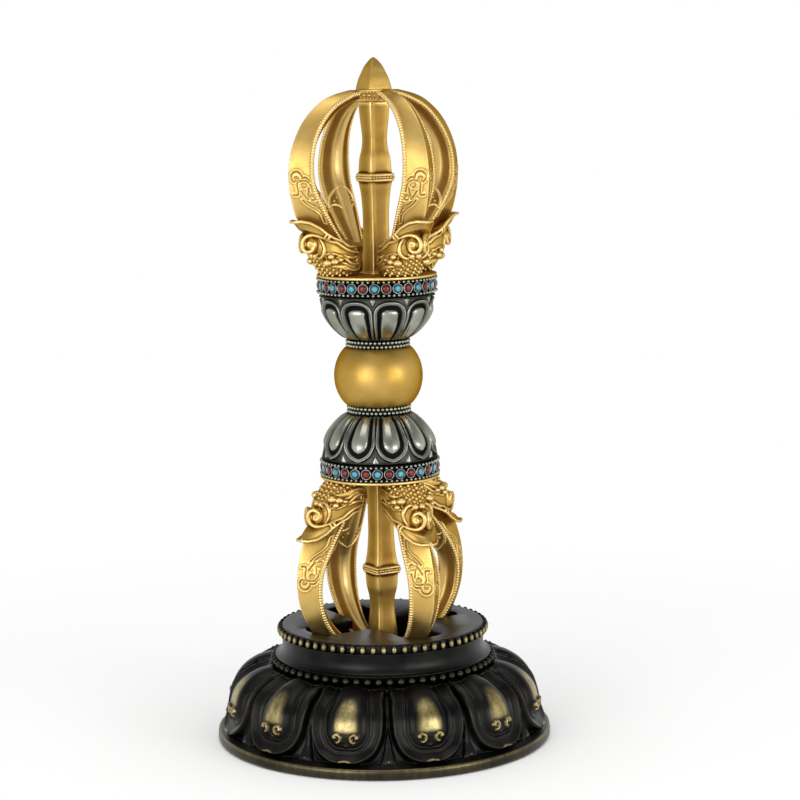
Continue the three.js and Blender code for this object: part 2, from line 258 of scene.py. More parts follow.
def turned(section, segments, relief=0.0):
    """A ring turned about Z from a closed section of [radius, height] points that runs up on its outside.
    relief holds how far each point of each row stands out of the surface."""
    section = np.array(section, float)
    along = unit(np.roll(section, -1, axis=0) - np.roll(section, 1, axis=0))
    radius = section[:, :1] + along[:, 1:] * relief
    height = section[:, 1:] - along[:, :1] * relief
    return looped(round_axis(radius, angles(segments), height))


def tube(path, radius, sides=8, squash=1.0, flat_along=(0.3, 0.5, 0.81)):
    """A round bar along a path, with one radius or one for each point, and rounded ends. squash widens or
    narrows it along flat_along."""
    radius = np.broadcast_to(radius, len(path))
    heading = unit(np.gradient(path, axis=0))
    side = np.array(flat_along)
    frames = []
    for direction in heading:
        side = unit(side - direction * side.dot(direction))
        frames.append((side, np.cross(direction, side)))
    angle = angles(sides)
    wave_across, wave_over = np.cos(angle)[:, None] * squash, np.sin(angle)[:, None]

    def ring(k, shift=0.0, share=1.0):
        across, over = frames[k]
        centre = path[k] + heading[k] * radius[k] * shift
        return centre + radius[k] * share * (wave_across * across + wave_over * over)

    start = [ring(0, -0.8, 0.6), ring(0, -0.35, 0.93)]
    end = [ring(-1, 0.35, 0.93), ring(-1, 0.8, 0.6)]
    return capped(np.array([*start, *map(ring, range(len(path))), *end]))


def ball_shape(columns, rows):
    level = np.linspace(-QUARTER_TURN, QUARTER_TURN, rows + 2)[1:-1, None]
    shape = capped(round_axis(np.cos(level), angles(columns), np.sin(level)))
    shape.points[-2:] = [[0, 0, -1], [0, 0, 1]]
    return shape


BEAD = ball_shape(12, 7)
PEARL = ball_shape(20, 13)


def wire_ring(radius, thickness):
    """A small round ring of wire that faces outwards along X."""
    wire = angles(8)
    out = radius + thickness * np.cos(wire)
    flat = round_axis(out, angles(28)[:, None], thickness * np.sin(wire))
    return looped(np.roll(flat, 1, axis=-1))


def copies(shape, matrices, places):
    """The shape once for each 3 by 3 matrix and place."""
    points = np.einsum("nij,pj->npi", matrices, shape.points) + np.array(places, float)[:, None, :]
    shift = (np.arange(len(places)) * len(shape.points))[:, None, None]
    quads, tris = (shape.quads[None] + shift).reshape(-1, 4), (shape.tris[None] + shift).reshape(-1, 3)
    return Shape(points.reshape(-1, 3), quads, tris)


def bead_ring(count, radius, height, size, start=0.0, bead=BEAD):
    """Beads round the axis. size is a bead's radius outwards, sideways and upwards."""
    around = start + angles(count)
    matrices = [about_z(turn) @ np.diag(size) for turn in around]
    return copies(bead, matrices, round_axis(radius, around, height))


def bead_at(place, size, bead=PEARL, turn=0.0):
    return copies(bead, [about_z(turn) @ np.diag(np.broadcast_to(size, 3))], [place])


# Meshes and pieces
def write_values(mesh, label, values):
    """Writes one number for each point of the mesh, which its material reads."""
    layer = mesh.attributes.new(label, "FLOAT", "POINT")
    layer.data.foreach_set("value", np.asarray(values, np.float32).ravel())


def to_mesh(name, shape, attributes=None):
    mesh = bpy.data.meshes.new(name)
    mesh.from_pydata((shape.points * MM).tolist(), [], shape.quads.tolist() + shape.tris.tolist())
    for label, values in (attributes or {}).items():
        write_values(mesh, label, values)
    mesh.shade_smooth()
    return mesh


def read_vectors(items, label):
    values = np.zeros(len(items) * 3)
    items.foreach_get(label, values)
    return values.reshape(-1, 3)


def add_relief_shading(mesh, *scales, painted_shading=0.0):
    """Writes how far each point stands above (to 1) or below (to -1) its surroundings, which the gold's
    painted shade and painted highlight follow: shade is painted into the recesses, and raised parts turn
    paler. Each scale is how many times the surroundings are averaged, and the height in millimetres that then
    counts as 1. The last argument is taken off at each point: painted shade where it is above 0, a painted
    highlight where it is below 0."""
    count = len(mesh.vertices)
    places = read_vectors(mesh.vertices, "co") / MM
    normals = read_vectors(mesh.vertex_normals, "vector")
    edges = np.zeros(len(mesh.edges) * 2, int)
    mesh.edges.foreach_get("vertices", edges)
    a, b = edges.reshape(-1, 2).T
    degree = np.maximum(np.bincount(a, minlength=count) + np.bincount(b, minlength=count), 1)
    soft, done, height = places.copy(), 0, np.zeros(count)
    for passes, full in scales:
        for _ in range(passes - done):
            sums = [np.bincount(a, axis[b], count) + np.bincount(b, axis[a], count) for axis in soft.T]
            soft = np.stack(sums, axis=1) / degree[:, None]
        done = passes
        height += ((places - soft) * normals).sum(axis=1) / full
    write_values(mesh, "relief", np.clip(height - painted_shading, -1, 1))


def add_object(name, data):
    made = bpy.data.objects.new(name, data)
    bpy.context.collection.objects.link(made)
    return made


def fused(name, shape, voxel):
    """The union of overlapping bodies as one mesh, remeshed at voxel millimetres and softened."""
    rough = add_object(name + "_rough", to_mesh(name + "_rough", shape))
    remesh = rough.modifiers.new("fuse", "REMESH")
    remesh.mode = "VOXEL"
    remesh.voxel_size = voxel * MM
    soften = rough.modifiers.new("soften", "SMOOTH")
    soften.factor = 0.5
    soften.iterations = 2
    view = rough.evaluated_get(bpy.context.evaluated_depsgraph_get())
    mesh = bpy.data.meshes.new_from_object(view)
    mesh.name = name
    bpy.data.objects.remove(rough)
    mesh.shade_smooth()
    return mesh


def add_piece(name, mesh, material, body, slot, *replaced):
    """Adds a piece, turned over for the lower half and round the axis for its side, puts it in its body and
    hides the CAD parts it replaces.
    """
    piece = add_object(name, mesh)
    if not mesh.materials:
        mesh.materials.append(material)
    if body == "vajra":
        piece.location.z = MIDDLE * MM
        if name.startswith("lower"):
            piece.rotation_euler.x = math.pi
        for turn, side in enumerate(SIDES):
            if name.endswith(side):
                piece.rotation_euler.z = turn * QUARTER_TURN
    bpy.context.view_layer.update()
    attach(piece, body)
    if replaced:
        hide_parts(*replaced)


# Materials
class Nodes:
    """The nodes of a material or a world, with short calls for the few kinds that are used here."""

    def __init__(self, owner):
        owner.use_nodes = True
        self.owner = owner
        self.tree = owner.node_tree
        self.coordinates = self.node("TexCoord").outputs

    def put(self, socket, value):
        """Links an input to an output, or sets it to a value."""
        if isinstance(value, bpy.types.NodeSocket):
            self.tree.links.new(value, socket)
        else:
            socket.default_value = value

    def node(self, kind, inputs=None, **settings):
        """A new node. inputs gives its inputs by their name or number."""
        made = self.tree.nodes.new("ShaderNode" + kind)
        for label, value in settings.items():
            setattr(made, label, value)
        for label, value in (inputs or {}).items():
            self.put(made.inputs[label], value)
        return made

    def attribute(self, name):
        return self.node("Attribute", attribute_name=name).outputs["Fac"]

    def noise(self, scale, detail=3.0, stretch=None):
        """Noise with about scale waves in a metre, finer along an axis where stretch says so."""
        place = self.coordinates["Object"]
        if stretch:
            place = self.node("Mapping", {"Vector": place, "Scale": stretch}).outputs["Vector"]
        return self.node("TexNoise", {"Vector": place, "Scale": scale, "Detail": detail}).outputs["Fac"]

    def ramp(self, source, *stops):
        """A smooth run between two colours, from [source's value, colour] stops."""
        node = self.node("ValToRGB", {"Fac": source})
        for element, (position, colour) in zip(node.color_ramp.elements, stops):
            element.position, element.color = position, colour
        return node.outputs["Color"]

    def spread(self, source, low, high, to_low=0.0, to_high=1.0):
        inputs = {"Value": source, "From Min": low, "From Max": high, "To Min": to_low, "To Max": to_high}
        return self.node("MapRange", inputs).outputs["Result"]

    def blend(self, share, first, second):
        """Mixes two colours by a share."""
        return self.node("Mix", {0: share, 6: first, 7: second}, data_type="RGBA").outputs[2]

    def math(self, kind, first, second, clamped=False):
        return self.node("Math", {0: first, 1: second}, operation=kind, use_clamp=clamped).outputs[0]

    def finish(self, colour, roughness, grain, grain_depth, constants):
        """Joins up the shader, with a bump from the grain, and gives back the material."""
        bump = self.node("Bump", {"Height": grain, "Strength": 0.5, "Distance": grain_depth * MM})
        inputs = {"Base Color": colour, "Roughness": roughness, "Normal": bump.outputs["Normal"], **constants}
        for label, value in inputs.items():
            self.put(self.tree.nodes["Principled BSDF"].inputs[label], value)
        return self.owner

    def seen_share(self):
        """1 for a camera, glossy or transmission ray, so that the background shows plain white."""
        path = self.node("LightPath").outputs
        total = path["Is Camera Ray"]
        for label in ("Is Glossy Ray", "Is Transmission Ray"):
            total = self.math("ADD", total, path[label], clamped=True)
        return total

    def white_where(self, share, ordinary, white, output):
        """Shows the white shader by the given share and the ordinary one for the rest."""
        mix = self.node("MixShader", {0: share, 1: ordinary.outputs[0], 2: white.outputs[0]})
        self.put(self.tree.nodes[output].inputs["Surface"], mix.outputs[0])


# Colours as red, green, blue and opacity
GOLD_SHADE = (0.44, 0.255, 0.05, 1)
GOLD_BRIGHT = (0.56, 0.38, 0.105, 1)
# Paler gold for raised parts: partly rubbed wear, partly a painted highlight
GOLD_WORN_AND_HIGHLIGHT = (0.82, 0.60, 0.24, 1)
# Brown painted shade for recesses and lowered faces
GOLD_PAINTED_SHADE = (0.15, 0.05, 0.007, 1)
GOLD_EDGE = (0.30, 0.20, 0.10, 1)
SILVER_SHADE = (0.25, 0.26, 0.215, 1)
SILVER_PALE = (0.44, 0.45, 0.38, 1)
SILVER_WORN = (0.62, 0.62, 0.56, 1)
SILVER_DARK = (0.008, 0.008, 0.008, 1)
SILVER_EDGE = (0.55, 0.55, 0.50, 1)
PATINA_DARK = (0.010, 0.010, 0.010, 1)
PATINA_PALE = (0.024, 0.023, 0.022, 1)
BRASS_DARK = (0.26, 0.20, 0.075, 1)
BRASS_PALE = (0.48, 0.40, 0.19, 1)
STEEL_DARK = (0.34, 0.34, 0.35, 1)
STEEL_PALE = (0.52, 0.52, 0.53, 1)
# Each stone's pale and deep cloud, then the painted shade at its rim
TURQUOISE_TONES_AND_RIM_SHADE = (0.10, 0.38, 0.50, 1), (0.045, 0.23, 0.32, 1), (0.005, 0.04, 0.07, 1)
CORAL_TONES_AND_RIM_SHADE = (0.26, 0.014, 0.026, 1), (0.13, 0.006, 0.012, 1), (0.022, 0.002, 0.004, 1)
FLOOR_COLOUR = (0.94, 0.94, 0.94, 1)
WHITE = (1, 1, 1, 1)
CEILING_GREY = (0.35, 0.35, 0.35, 1)


def material_nodes(name):
    return Nodes(bpy.data.materials.new(name))


def gold_material(name, brushed=None):
    """Satin gilding, with painted shade and painted highlights: brown shade is painted into the recesses and
    onto lowered faces, and raised parts are paler, partly as rubbed wear and partly as a painted highlight.
    """
    nodes = material_nodes(name)
    relief = nodes.attribute("relief")
    tone = nodes.ramp(nodes.noise(90.0, 4.0), (0.3, GOLD_SHADE), (0.7, GOLD_BRIGHT))
    # Raised parts turn paler: partly rubbed wear, partly a painted highlight
    raised_tone = nodes.blend(nodes.spread(relief, 0.15, 0.8), tone, GOLD_WORN_AND_HIGHLIGHT)
    # Recesses and lowered faces turn brown: painted shade
    colour = nodes.blend(nodes.spread(relief, -0.12, -0.75), raised_tone, GOLD_PAINTED_SHADE)
    base = nodes.spread(relief, -0.55, 0.0, 0.68, 0.42)
    roughness = nodes.math("ADD", base, nodes.spread(nodes.noise(420.0), 0.3, 0.7, -0.04, 0.05))
    constants = {"Metallic": 1.0, "Specular Tint": GOLD_EDGE}
    return nodes.finish(colour, roughness, nodes.noise(2600.0, 3.0, brushed), 0.03, constants)


def silver_material(name):
    """Oxidised silver: pale and slightly green on the lobes, near black in the recesses."""
    nodes = material_nodes(name)
    dark = nodes.attribute("dark")
    cloud = nodes.noise(160.0, 5.0)
    tone = nodes.ramp(cloud, (0.3, SILVER_SHADE), (0.72, SILVER_PALE))
    raised_tone = nodes.blend(nodes.spread(nodes.attribute("relief"), 0.1, 0.7), tone, SILVER_WORN)
    colour = nodes.blend(dark, raised_tone, SILVER_DARK)
    base = nodes.spread(dark, 0, 1, 0.27, 0.55)
    roughness = nodes.math("ADD", base, nodes.spread(cloud, 0, 1, -0.05, 0.06))
    constants = {"Metallic": 1.0, "Specular Tint": SILVER_EDGE}
    return nodes.finish(colour, roughness, nodes.noise(2400.0), 0.03, constants)


def bronze_material(name):
    """Black patina over brass, rubbed through on the high spots, with painted highlights where the beads
    stand out and along the petals' outlines.
    """
    nodes = material_nodes(name)
    # Where the brass shows: rubbed wear, and painted highlights
    rub_and_highlight = nodes.attribute("rub_and_highlight")
    cloud = nodes.noise(120.0, 6.0)
    streaks = nodes.noise(700.0, 4.0, (1.0, 1.0, 0.12))
    black = nodes.ramp(cloud, (0.3, PATINA_DARK), (0.75, PATINA_PALE))
    brass = nodes.ramp(streaks, (0.3, BRASS_DARK), (0.72, BRASS_PALE))
    broken = nodes.math("MULTIPLY", rub_and_highlight, nodes.spread(nodes.noise(900.0, 5.0), 0.32, 0.55, 0.72, 1.0))
    colour = nodes.blend(broken, black, brass)
    base = nodes.spread(rub_and_highlight, 0, 1, 0.37, 0.34)
    roughness = nodes.math("ADD", base, nodes.spread(cloud, 0, 1, -0.05, 0.07))
    return nodes.finish(colour, roughness, nodes.noise(2000.0, 4.0), 0.035, {"Metallic": 1.0})


def stone_material(name, tones_and_rim_shade):
    """A polished opaque stone with clouding, and painted shade that darkens it towards its setting."""
    pale, deep, rim = tones_and_rim_shade
    nodes = material_nodes(name)
    cloud = nodes.noise(900.0, 5.0)
    body = nodes.ramp(cloud, (0.35, deep), (0.65, pale))
    # Painted shade: the colour darkens towards the stone's setting
    colour = nodes.blend(nodes.attribute("edge"), body, rim)
    roughness = nodes.spread(cloud, 0, 1, 0.12, 0.24)
    constants = {"Metallic": 0.0, "Specular IOR Level": 0.28, "Coat Weight": 0.10, "Coat Roughness": 0.08}
    return nodes.finish(colour, roughness, nodes.noise(1800.0), 0.015, constants)


def steel_material(name):
    nodes = material_nodes(name)
    cloud = nodes.noise(300.0)
    colour = nodes.ramp(cloud, (0.3, STEEL_DARK), (0.7, STEEL_PALE))
    roughness = nodes.spread(cloud, 0, 1, 0.28, 0.45)
    grain = nodes.noise(1500.0, 2.0, (1.0, 1.0, 0.1))
    return nodes.finish(colour, roughness, grain, 0.03, {"Metallic": 1.0})


GOLD = gold_material("satin_gold")
BRUSHED_GOLD = gold_material("brushed_gold", brushed=(1.0, 1.0, 0.06))
SILVER = silver_material("antique_silver")
BRONZE = bronze_material("black_bronze")
TURQUOISE = stone_material("turquoise", TURQUOISE_TONES_AND_RIM_SHADE)
CORAL = stone_material("coral", CORAL_TONES_AND_RIM_SHADE)
STEEL = steel_material("steel")


# The waist
BALL_FLATNESS = 0.535
BALL_FULLNESS = 0.4


def make_ball():
    level = np.linspace(-1, 1, 61)
    radius = BALL_RADIUS * (1 - BALL_FLATNESS * level**2) ** BALL_FULLNESS
    radius[[0, -1]] = COLLAR_RADIUS - 0.3
    outer = np.stack([radius, COLLAR_BASE * level], axis=1)
    section = np.vstack([[BORE, -COLLAR_BASE], outer, [BORE, COLLAR_BASE]])
    mesh = to_mesh("centre_ball_look", turned(section, 128))
    add_piece("gilt_ball", mesh, GOLD, "vajra", "gilt", "centre_ball")


def make_collar():
    """Two rows of beads on a dark core."""
    low, high = COLLAR_BASE, BOWL_BASE
    root = COLLAR_RADIUS - 0.75
    core = turned([[BORE, low], [root, low], [root, (low + high) / 2], [root, high], [BORE, high]], 96)
    bead = (high - low) / 4
    size = (0.72, 0.60, bead * 0.97)
    rows = ((low + bead, 0), (high - bead, math.pi / COLLAR_BEADS))
    beads = [bead_ring(COLLAR_BEADS, COLLAR_RADIUS - size[0], level, size, start) for level, start in rows]
    shape = join([core, *beads])
    dark = fade(from_axis(shape.points), root, COLLAR_RADIUS - 0.35)
    return to_mesh("waist_collar_look", shape, {"dark": dark})


def petal_grid(outer, columns, petals, offset):
    """For each point of a ring of petals: how far it is from its petal's middle, from the foot of the
    profile, and from the line between two petals. offset turns the ring by a share of the pitch."""
    pitch = FULL_TURN / petals
    from_middle = (angles(columns) + offset * pitch) % pitch - pitch / 2
    across = np.abs(outer[:, :1] * from_middle)
    along = np.repeat(arc_lengths(outer)[:, None], columns, axis=1)
    return across, along, outer[:, :1] * pitch / 2 - across


def depth_inside(edge, across, along, **beyond):
    """How far each point lies inside a petal's outline, below 0 where it lies outside."""
    widest = np.interp(along, edge[:, 1], edge[:, 0], **beyond)
    distance = distance_to([edge], across, along)
    return np.where(across < widest, distance, -distance)


# The bowl's outside: share of its radius, share of its height
BOWL_LINE = [(0.55, 0), (0.67, 0.1), (0.79, 0.25), (0.89, 0.42), (0.955, 0.6), (0.975, 0.8), (0.99, 1)]
# How a petal's surface rises and falls inwards from its outline: distance in, height, darkness
PETAL_FALL = [
    (-1.5, -1.05, 0.80), (-0.30, -1.05, 0.86), (-0.08, -0.75, 0.90), (0.08, -0.10, 0.10), (0.22, 0.0, 0.0),
    (0.38, -0.06, 0.0), (0.50, -0.34, 0.60), (0.68, -0.36, 0.55), (0.92, -0.30, 0.40), (1.04, -0.45, 0.60),
    (1.16, -0.95, 1.0), (2.30, -1.05, 1.0), (2.50, -0.80, 0.90), (2.64, -0.52, 0.10), (2.85, -0.34, 0.0),
    (3.3, -0.17, 0.0), (4.0, -0.05, 0.0), (5.6, 0.0, 0.0),
]
# A petal's sides: half width, share of the way along the bowl
PETAL_SIDE = [(2.95, 0), (3.9, 0.22), (4.8, 0.44)]
# Its tip: half width, distance along the bowl from the band
ROUND_ARCH = [(5.35, -6.1), (5.2, -4.6), (4.5, -3.2), (3.1, -2.15), (1.6, -1.7), (0, -1.6)]
POINTED_ARCH = [(5.3, -7.4), (5.1, -5.2), (4.1, -3.3), (2.6, -2.0), (1.2, -1.35), (0, -0.95)]


def bowl_relief(outer, columns, pointed):
    """The height and the darkness of each point of the petal ring."""
    across, along, to_gap = petal_grid(outer, columns, BOWL_PETALS, 0.5)
    length = along[-1, 0]
    sides = [(half, share * length) for half, share in PETAL_SIDE]
    arch = [(half, length + back) for half, back in (POINTED_ARCH if pointed else ROUND_ARCH)]
    inwards = depth_inside(smooth_path(sides + arch, 80), across, along, right=0)
    narrowed = np.interp(along, [0, 0.6 * length], [ROUND_ARCH[0][0] / PETAL_SIDE[0][0], 1.0])
    inwards *= np.where(inwards > 0, narrowed, 1)
    distances, *values = zip(*PETAL_FALL)
    relief, dark = (np.interp(inwards, distances, value) for value in values)
    if pointed:
        relief += smoothstep(inwards, 2.5, 2.9) * 0.30 * (0.5 - across / 2.7)

    # The small leaf that shows between two petals' tips
    leaf_foot = length - 3.6
    leaf_half = np.interp(along, [leaf_foot, length - 0.7], [0, 1.35])
    leaf = fade(to_gap, leaf_half - 0.30, leaf_half) * (inwards < -0.05) * (along > leaf_foot)
    relief += leaf * (0.72 - 0.25 * to_gap)
    dark = toward(dark, 0.08, leaf)

    near_band = smoothstep(along, length - 0.55, length - 0.15)
    near_collar = fade(along, 0.0, 0.7)
    relief = toward(toward(relief, -0.9, near_band), -0.35, near_collar)
    return relief, np.maximum(dark, 0.9 * np.maximum(near_band, near_collar))


def make_bowl(end):
    """The ring of lotus petals between collar and band. The upper petals are round, the lower pointed."""
    height = BAND_BASE - BOWL_BASE
    outer = evenly(smooth_path(np.array(BOWL_LINE) * [BOWL_RADIUS, height], 300), 0.17)
    columns = 60 * BOWL_PETALS
    relief, dark = bowl_relief(outer, columns, pointed=end == "lower")
    section = np.vstack([[BORE, 0], outer, [BORE, height]]) + [0, BOWL_BASE]
    bore_rows = ((1, 1), (0, 0))
    shape = turned(section, columns, np.pad(relief, bore_rows))
    return to_mesh(end + "_bowl_look", shape, {"dark": np.pad(dark, bore_rows, constant_values=1)})


STONE_HEIGHT = (BAND_BASE + DISC_BASE) / 2
SETTING_RADIUS = 18.35
WIRE = 0.17  # radius of the wire round a stone


def make_band():
    """Bead rows along both edges, and a ring round each stone's place, on a black ground."""
    low, high = BAND_BASE, DISC_BASE
    ground, lip = SETTING_RADIUS - 0.25, BAND_RADIUS - 0.75
    section = [
        [BORE, low], [lip, low], [lip, low + 0.55], [ground, low + 0.75],
        [ground, high - 0.75], [lip, high - 0.55], [lip, high], [BORE, high],
    ]
    core = turned(section, 144)
    size = (0.60, 0.50, 0.47)
    rows = [bead_ring(BAND_BEADS, BAND_RADIUS - size[0], level, size) for level in (low + 0.54, high - 0.54)]
    wire = wire_ring(STONE_RADIUS + WIRE, WIRE)
    settings = bead_ring(STONES, SETTING_RADIUS + 0.12, STONE_HEIGHT, (1.5, 1, 1), bead=wire)
    shape = join([core, *rows, settings])
    dark = 0.8 * fade(from_axis(shape.points), ground + 0.1, ground + 0.45)
    dark[: len(core.points)] = 1
    return to_mesh("jewel_band_look", shape, {"dark": dark})


def make_stones(first):
    """Every other stone of a band, from the first."""
    dome = ball_shape(24, 15)
    size = (0.85, STONE_RADIUS, STONE_RADIUS)
    start = first * FULL_TURN / STONES
    shape = bead_ring(STONES // 2, SETTING_RADIUS - 0.02, STONE_HEIGHT, size, start, dome)
    # Painted shade: how far each point of a stone lies towards its rim
    edge = smoothstep(np.hypot(dome.points[:, 1], dome.points[:, 2]), 0.45, 0.82)
    return to_mesh("stones_look", shape, {"edge": np.tile(edge, STONES // 2)})


def make_disc():
    """The thin disc under a cage. Its rounded rim is painted lighter, partly as rubbed wear and partly as a
    painted highlight, and its upper face is painted darker as shade under the cage.
    """
    low, high = DISC_BASE, CAGE_BASE
    half = (high - low) / 2
    bend = 0.7 * half
    angle = np.linspace(-QUARTER_TURN, QUARTER_TURN, 9)
    rounded = [DISC_RADIUS - bend + bend * np.cos(angle), (low + high) / 2 + half * np.sin(angle)]
    section = np.vstack([[BORE, low], np.stack(rounded, axis=1), [DISC_RADIUS - 1.6, high], [BORE, high]])
    # How high each row counts for the gold's painted shade and highlight, from the bore under the disc to the
    # bore over it: lighter on the rim, painted shade on the upper face
    relief = [0, 0, 0.1, 0.3, 0.6, 0.8, 0.8, 0.6, 0.2, -0.2, -0.45, -0.5]
    return to_mesh("seat_disc_look", turned(section, 144), {"relief": np.repeat(relief, 144)})


# The heads. Their heights and the prongs' run up from the disc
MOUTH_DEPTH = 0.7  # from the lip's edge down to a prong's foot
# The mouth's plane and the lip's edge: distance from the axis, height
MOUTH_PLANE = [(7.8, 8.1), (31.4, 16.6)]
LIP_EDGE = [
    (8.2, 8.1), (16, 11.0), (19.6, 12.4), (21.6, 13.6), (23.6, 15.3), (26.3, 16.9), (28.6, 17.4), (30.7, 17.2)
]
# Inner end's radius and height, outer end's radius and height, half width, squareness of the front
HEAD_SLICES = [
    [9.0, 0.0, 17.9, 0.0, 5.2, 2.4],
    [8.8, 0.8, 19.0, 0.8, 6.0, 2.4],
    [8.6, 1.6, 19.9, 1.8, 6.4, 2.4],
    [8.6, 3.4, 21.4, 3.8, 6.7, 2.5],
    [8.8, 5.2, 22.6, 6.4, 6.8, 2.6],
    [8.8, 6.4, 23.6, 8.8, 6.7, 2.6],
    [8.6, 7.2, 24.0, 11.2, 6.5, 2.4],
    [8.6, 7.7, 25.3, 13.9, 6.4, 2.0],
    [8.2, 8.1, 30.7, 16.6, 6.4, 1.55],
]
BACK_SQUARENESS = 3.2
HEAD_VOXEL = 0.17


def signed_power(value, power):
    return np.sign(value) * np.abs(value) ** power


def on_slice(level, angle):
    """Points on a slice of the head at a share of the way from the disc to the mouth, at angles that run
    from its front over its side to its back."""
    r0, z0, r1, z1, half, front = sample(HEAD_SLICES, level)
    power = 2 / np.where(np.cos(angle) > 0, front, BACK_SQUARENESS)
    along = (1 + signed_power(np.cos(angle), power)) / 2
    radius = r0 + (r1 - r0) * along
    across = half * signed_power(np.sin(angle), power)
    lift = smoothstep(level, 0.93, 1.0) * (look_up(LIP_EDGE, radius) - look_up(MOUTH_PLANE, radius))
    return np.stack([radius, across, z0 + (z1 - z0) * along + lift], axis=-1)


def head_core():
    """The head's wedge, with the mouth's floor a little below the lip's edge."""
    levels = np.concatenate([np.linspace(0, 0.9, 34), np.linspace(0.915, 1, 12)])
    rings = [on_slice(level, angles(72)) for level in levels]
    middle = rings[-1].mean(axis=0)
    floor = middle + (rings[-1] - middle) * [0.88, 0.84, 1]
    floor[:, 2] = look_up(LIP_EDGE, floor[:, 0]) - 0.35
    return capped(np.array([*rings, floor]))


# Spots on a head's side are given as the camera sees them on the lower west head: millimetres to the right
# of the axis, and down from the disc
SIDE_TURN = math.radians(31.3)
SIDE_TILT = math.tan(math.radians(7.5))


def seen_from_side(places):
    out, across, height = np.moveaxis(places, -1, 0)
    right = across * math.sin(SIDE_TURN) - out * math.cos(SIDE_TURN)
    toward_eye = out * math.sin(SIDE_TURN) + across * math.cos(SIDE_TURN)
    return np.stack([right, height + toward_eye * SIDE_TILT], axis=-1)


def head_side():
    """Close points all over the head's side, where each is seen, and the ways out of the surface."""
    angle = np.linspace(-0.5, 2.6, 320)
    places = np.array([on_slice(level, angle) for level in np.linspace(0, 1, 240)])
    outwards = unit(np.cross(np.gradient(places, axis=1), np.gradient(places, axis=0)))
    return places.reshape(-1, 3), seen_from_side(places).reshape(-1, 2), outwards.reshape(-1, 3)


HEAD_SIDE = head_side()


def on_head(spots, out):
    """The points of the head's side that are seen at the spots, raised a little, as a smooth path."""
    places, seen, outwards = HEAD_SIDE
    nearest = [np.argmin(((seen - spot) ** 2).sum(axis=1)) for spot in spots]
    path = places[nearest] + out * outwards[nearest]
    for _ in range(3):
        path[1:-1] = (path[:-2] + 2 * path[1:-1] + path[2:]) / 4
    return path


def head_ridge(spots, radii, out=0.0):
    """A raised line over the head's side, with its radius as [share of its length, radius] stops."""
    count = 8 * len(spots)
    return tube(on_head(smooth_path(spots, count), out), swelling(count, *radii), 10)


def head_bead(spot, size, out=0.0):
    return bead_at(on_head([spot], out)[0], size)


def facing_path(centre, facing, flat, dome):
    """A path drawn in an upright plane that faces the given way round the axis, with its end raised."""
    normal = np.array([math.cos(facing), math.sin(facing), 0])
    side = np.array([-math.sin(facing), math.cos(facing), 0])
    share = np.linspace(0, 1, len(flat))[:, None]
    return np.array(centre) + flat[:, :1] * side + flat[:, 1:] * [0, 0, 1.0] + normal * dome * share


# The nostril's volute, from its arm along the lip into its middle: sideways, up
NOSTRIL = [
    (6.7, 1.3), (4.8, 2.1), (2.9, 2.85), (1.0, 3.15), (-0.8, 2.65), (-1.9, 1.3), (-2.15, -0.35),
    (-1.4, -1.7), (0.0, -2.05), (1.15, -1.35), (1.4, -0.1), (0.8, 0.8), (-0.05, 0.6), (0.05, -0.15),
]
NOSTRIL_FACING = 0.80
# Spots of the crescent behind the nostril, and of each tooth from the lip to its tip
CRESCENT = [
    (-18.3, 9.0), (-18.8, 8.6), (-18.4, 7.9), (-17.3, 8.0), (-16.4, 9.1), (-16.0, 10.7), (-16.3, 12.3),
    (-17.1, 13.7), (-18.0, 14.5),
]
TEETH = ([(-15.9, 14.5), (-15.3, 15.6)], [(-14.6, 14.4), (-14.1, 15.3)])


def head_snout():
    """The nostril, with the crescent and curl behind it, and the lip's edge and teeth."""
    flat = smooth_path(NOSTRIL, 110)
    volute = facing_path((25.4, 1.9, 10.15), NOSTRIL_FACING, flat, dome=0.4)
    arm = smoothstep(flat[:, :1], 1.0, 3.2)
    volute = toward(volute, on_head(seen_from_side(volute), 0.15), arm)
    lip = on_slice(1.0, np.linspace(0, 1.75, 50)) - [0.15, 0, 0.05]
    crescent_radii = ((0, 0.46), (0.25, 0.42), (0.55, 0.72), (0.8, 0.45), (1, 0.1))
    return [
        tube(volute, swelling(110, (0, 0.2), (0.2, 0.58), (0.45, 0.74), (0.8, 0.58), (1, 0.62)), 12),
        bead_at((24.0, 1.5, 10.2), (2.1, 2.1, 2.6), turn=NOSTRIL_FACING),
        bead_at((22.6, 1.2, 6.7), 1.15),
        head_ridge(CRESCENT, crescent_radii, 0.05),
        tube(lip, swelling(50, (0, 0.42), (0.3, 0.52), (0.8, 0.48), (1, 0.3)), 12),
        *(head_ridge(tooth, ((0, 0.55), (1, 0.3)), 0.25) for tooth in TEETH),
    ]


# The face's beads: spot, size, how far out
EYEBALL = ((-14.0, 8.6), (1.15, 0.95, 0.85), 0.30)
BROWS = [((-14.9, 6.6), (1.75, 1.50, 1.20), 0.15), ((-12.8, 7.0), (1.55, 1.20, 1.00), 0.15)]
CHEEK = ((-11.1, 7.4), (1.30, 0.95, 0.75))
MOUTH_CORNER = [((-5.9, 8.4), 0.62), ((-5.2, 7.2), 0.5)]
# Its raised lines
UPPER_LID = [(-15.8, 8.8), (-15.0, 7.8), (-13.6, 7.7), (-12.2, 8.2), (-10.8, 8.6)]
LOWER_LID = [(-15.8, 9.1), (-14.7, 9.6), (-13.3, 9.6), (-11.7, 8.9), (-10.4, 8.6)]
UPPER_LIP = [
    (-16.1, 14.2), (-14.2, 13.3), (-12.2, 12.7), (-10.4, 11.3), (-8.9, 10.1), (-7.3, 9.2), (-6.0, 8.6)
]
LOWER_LIP = [
    (-14.5, 15.1), (-12.3, 13.9), (-10.4, 12.8), (-8.9, 11.4), (-7.5, 10.7), (-6.6, 10.9), (-6.9, 11.4)
]


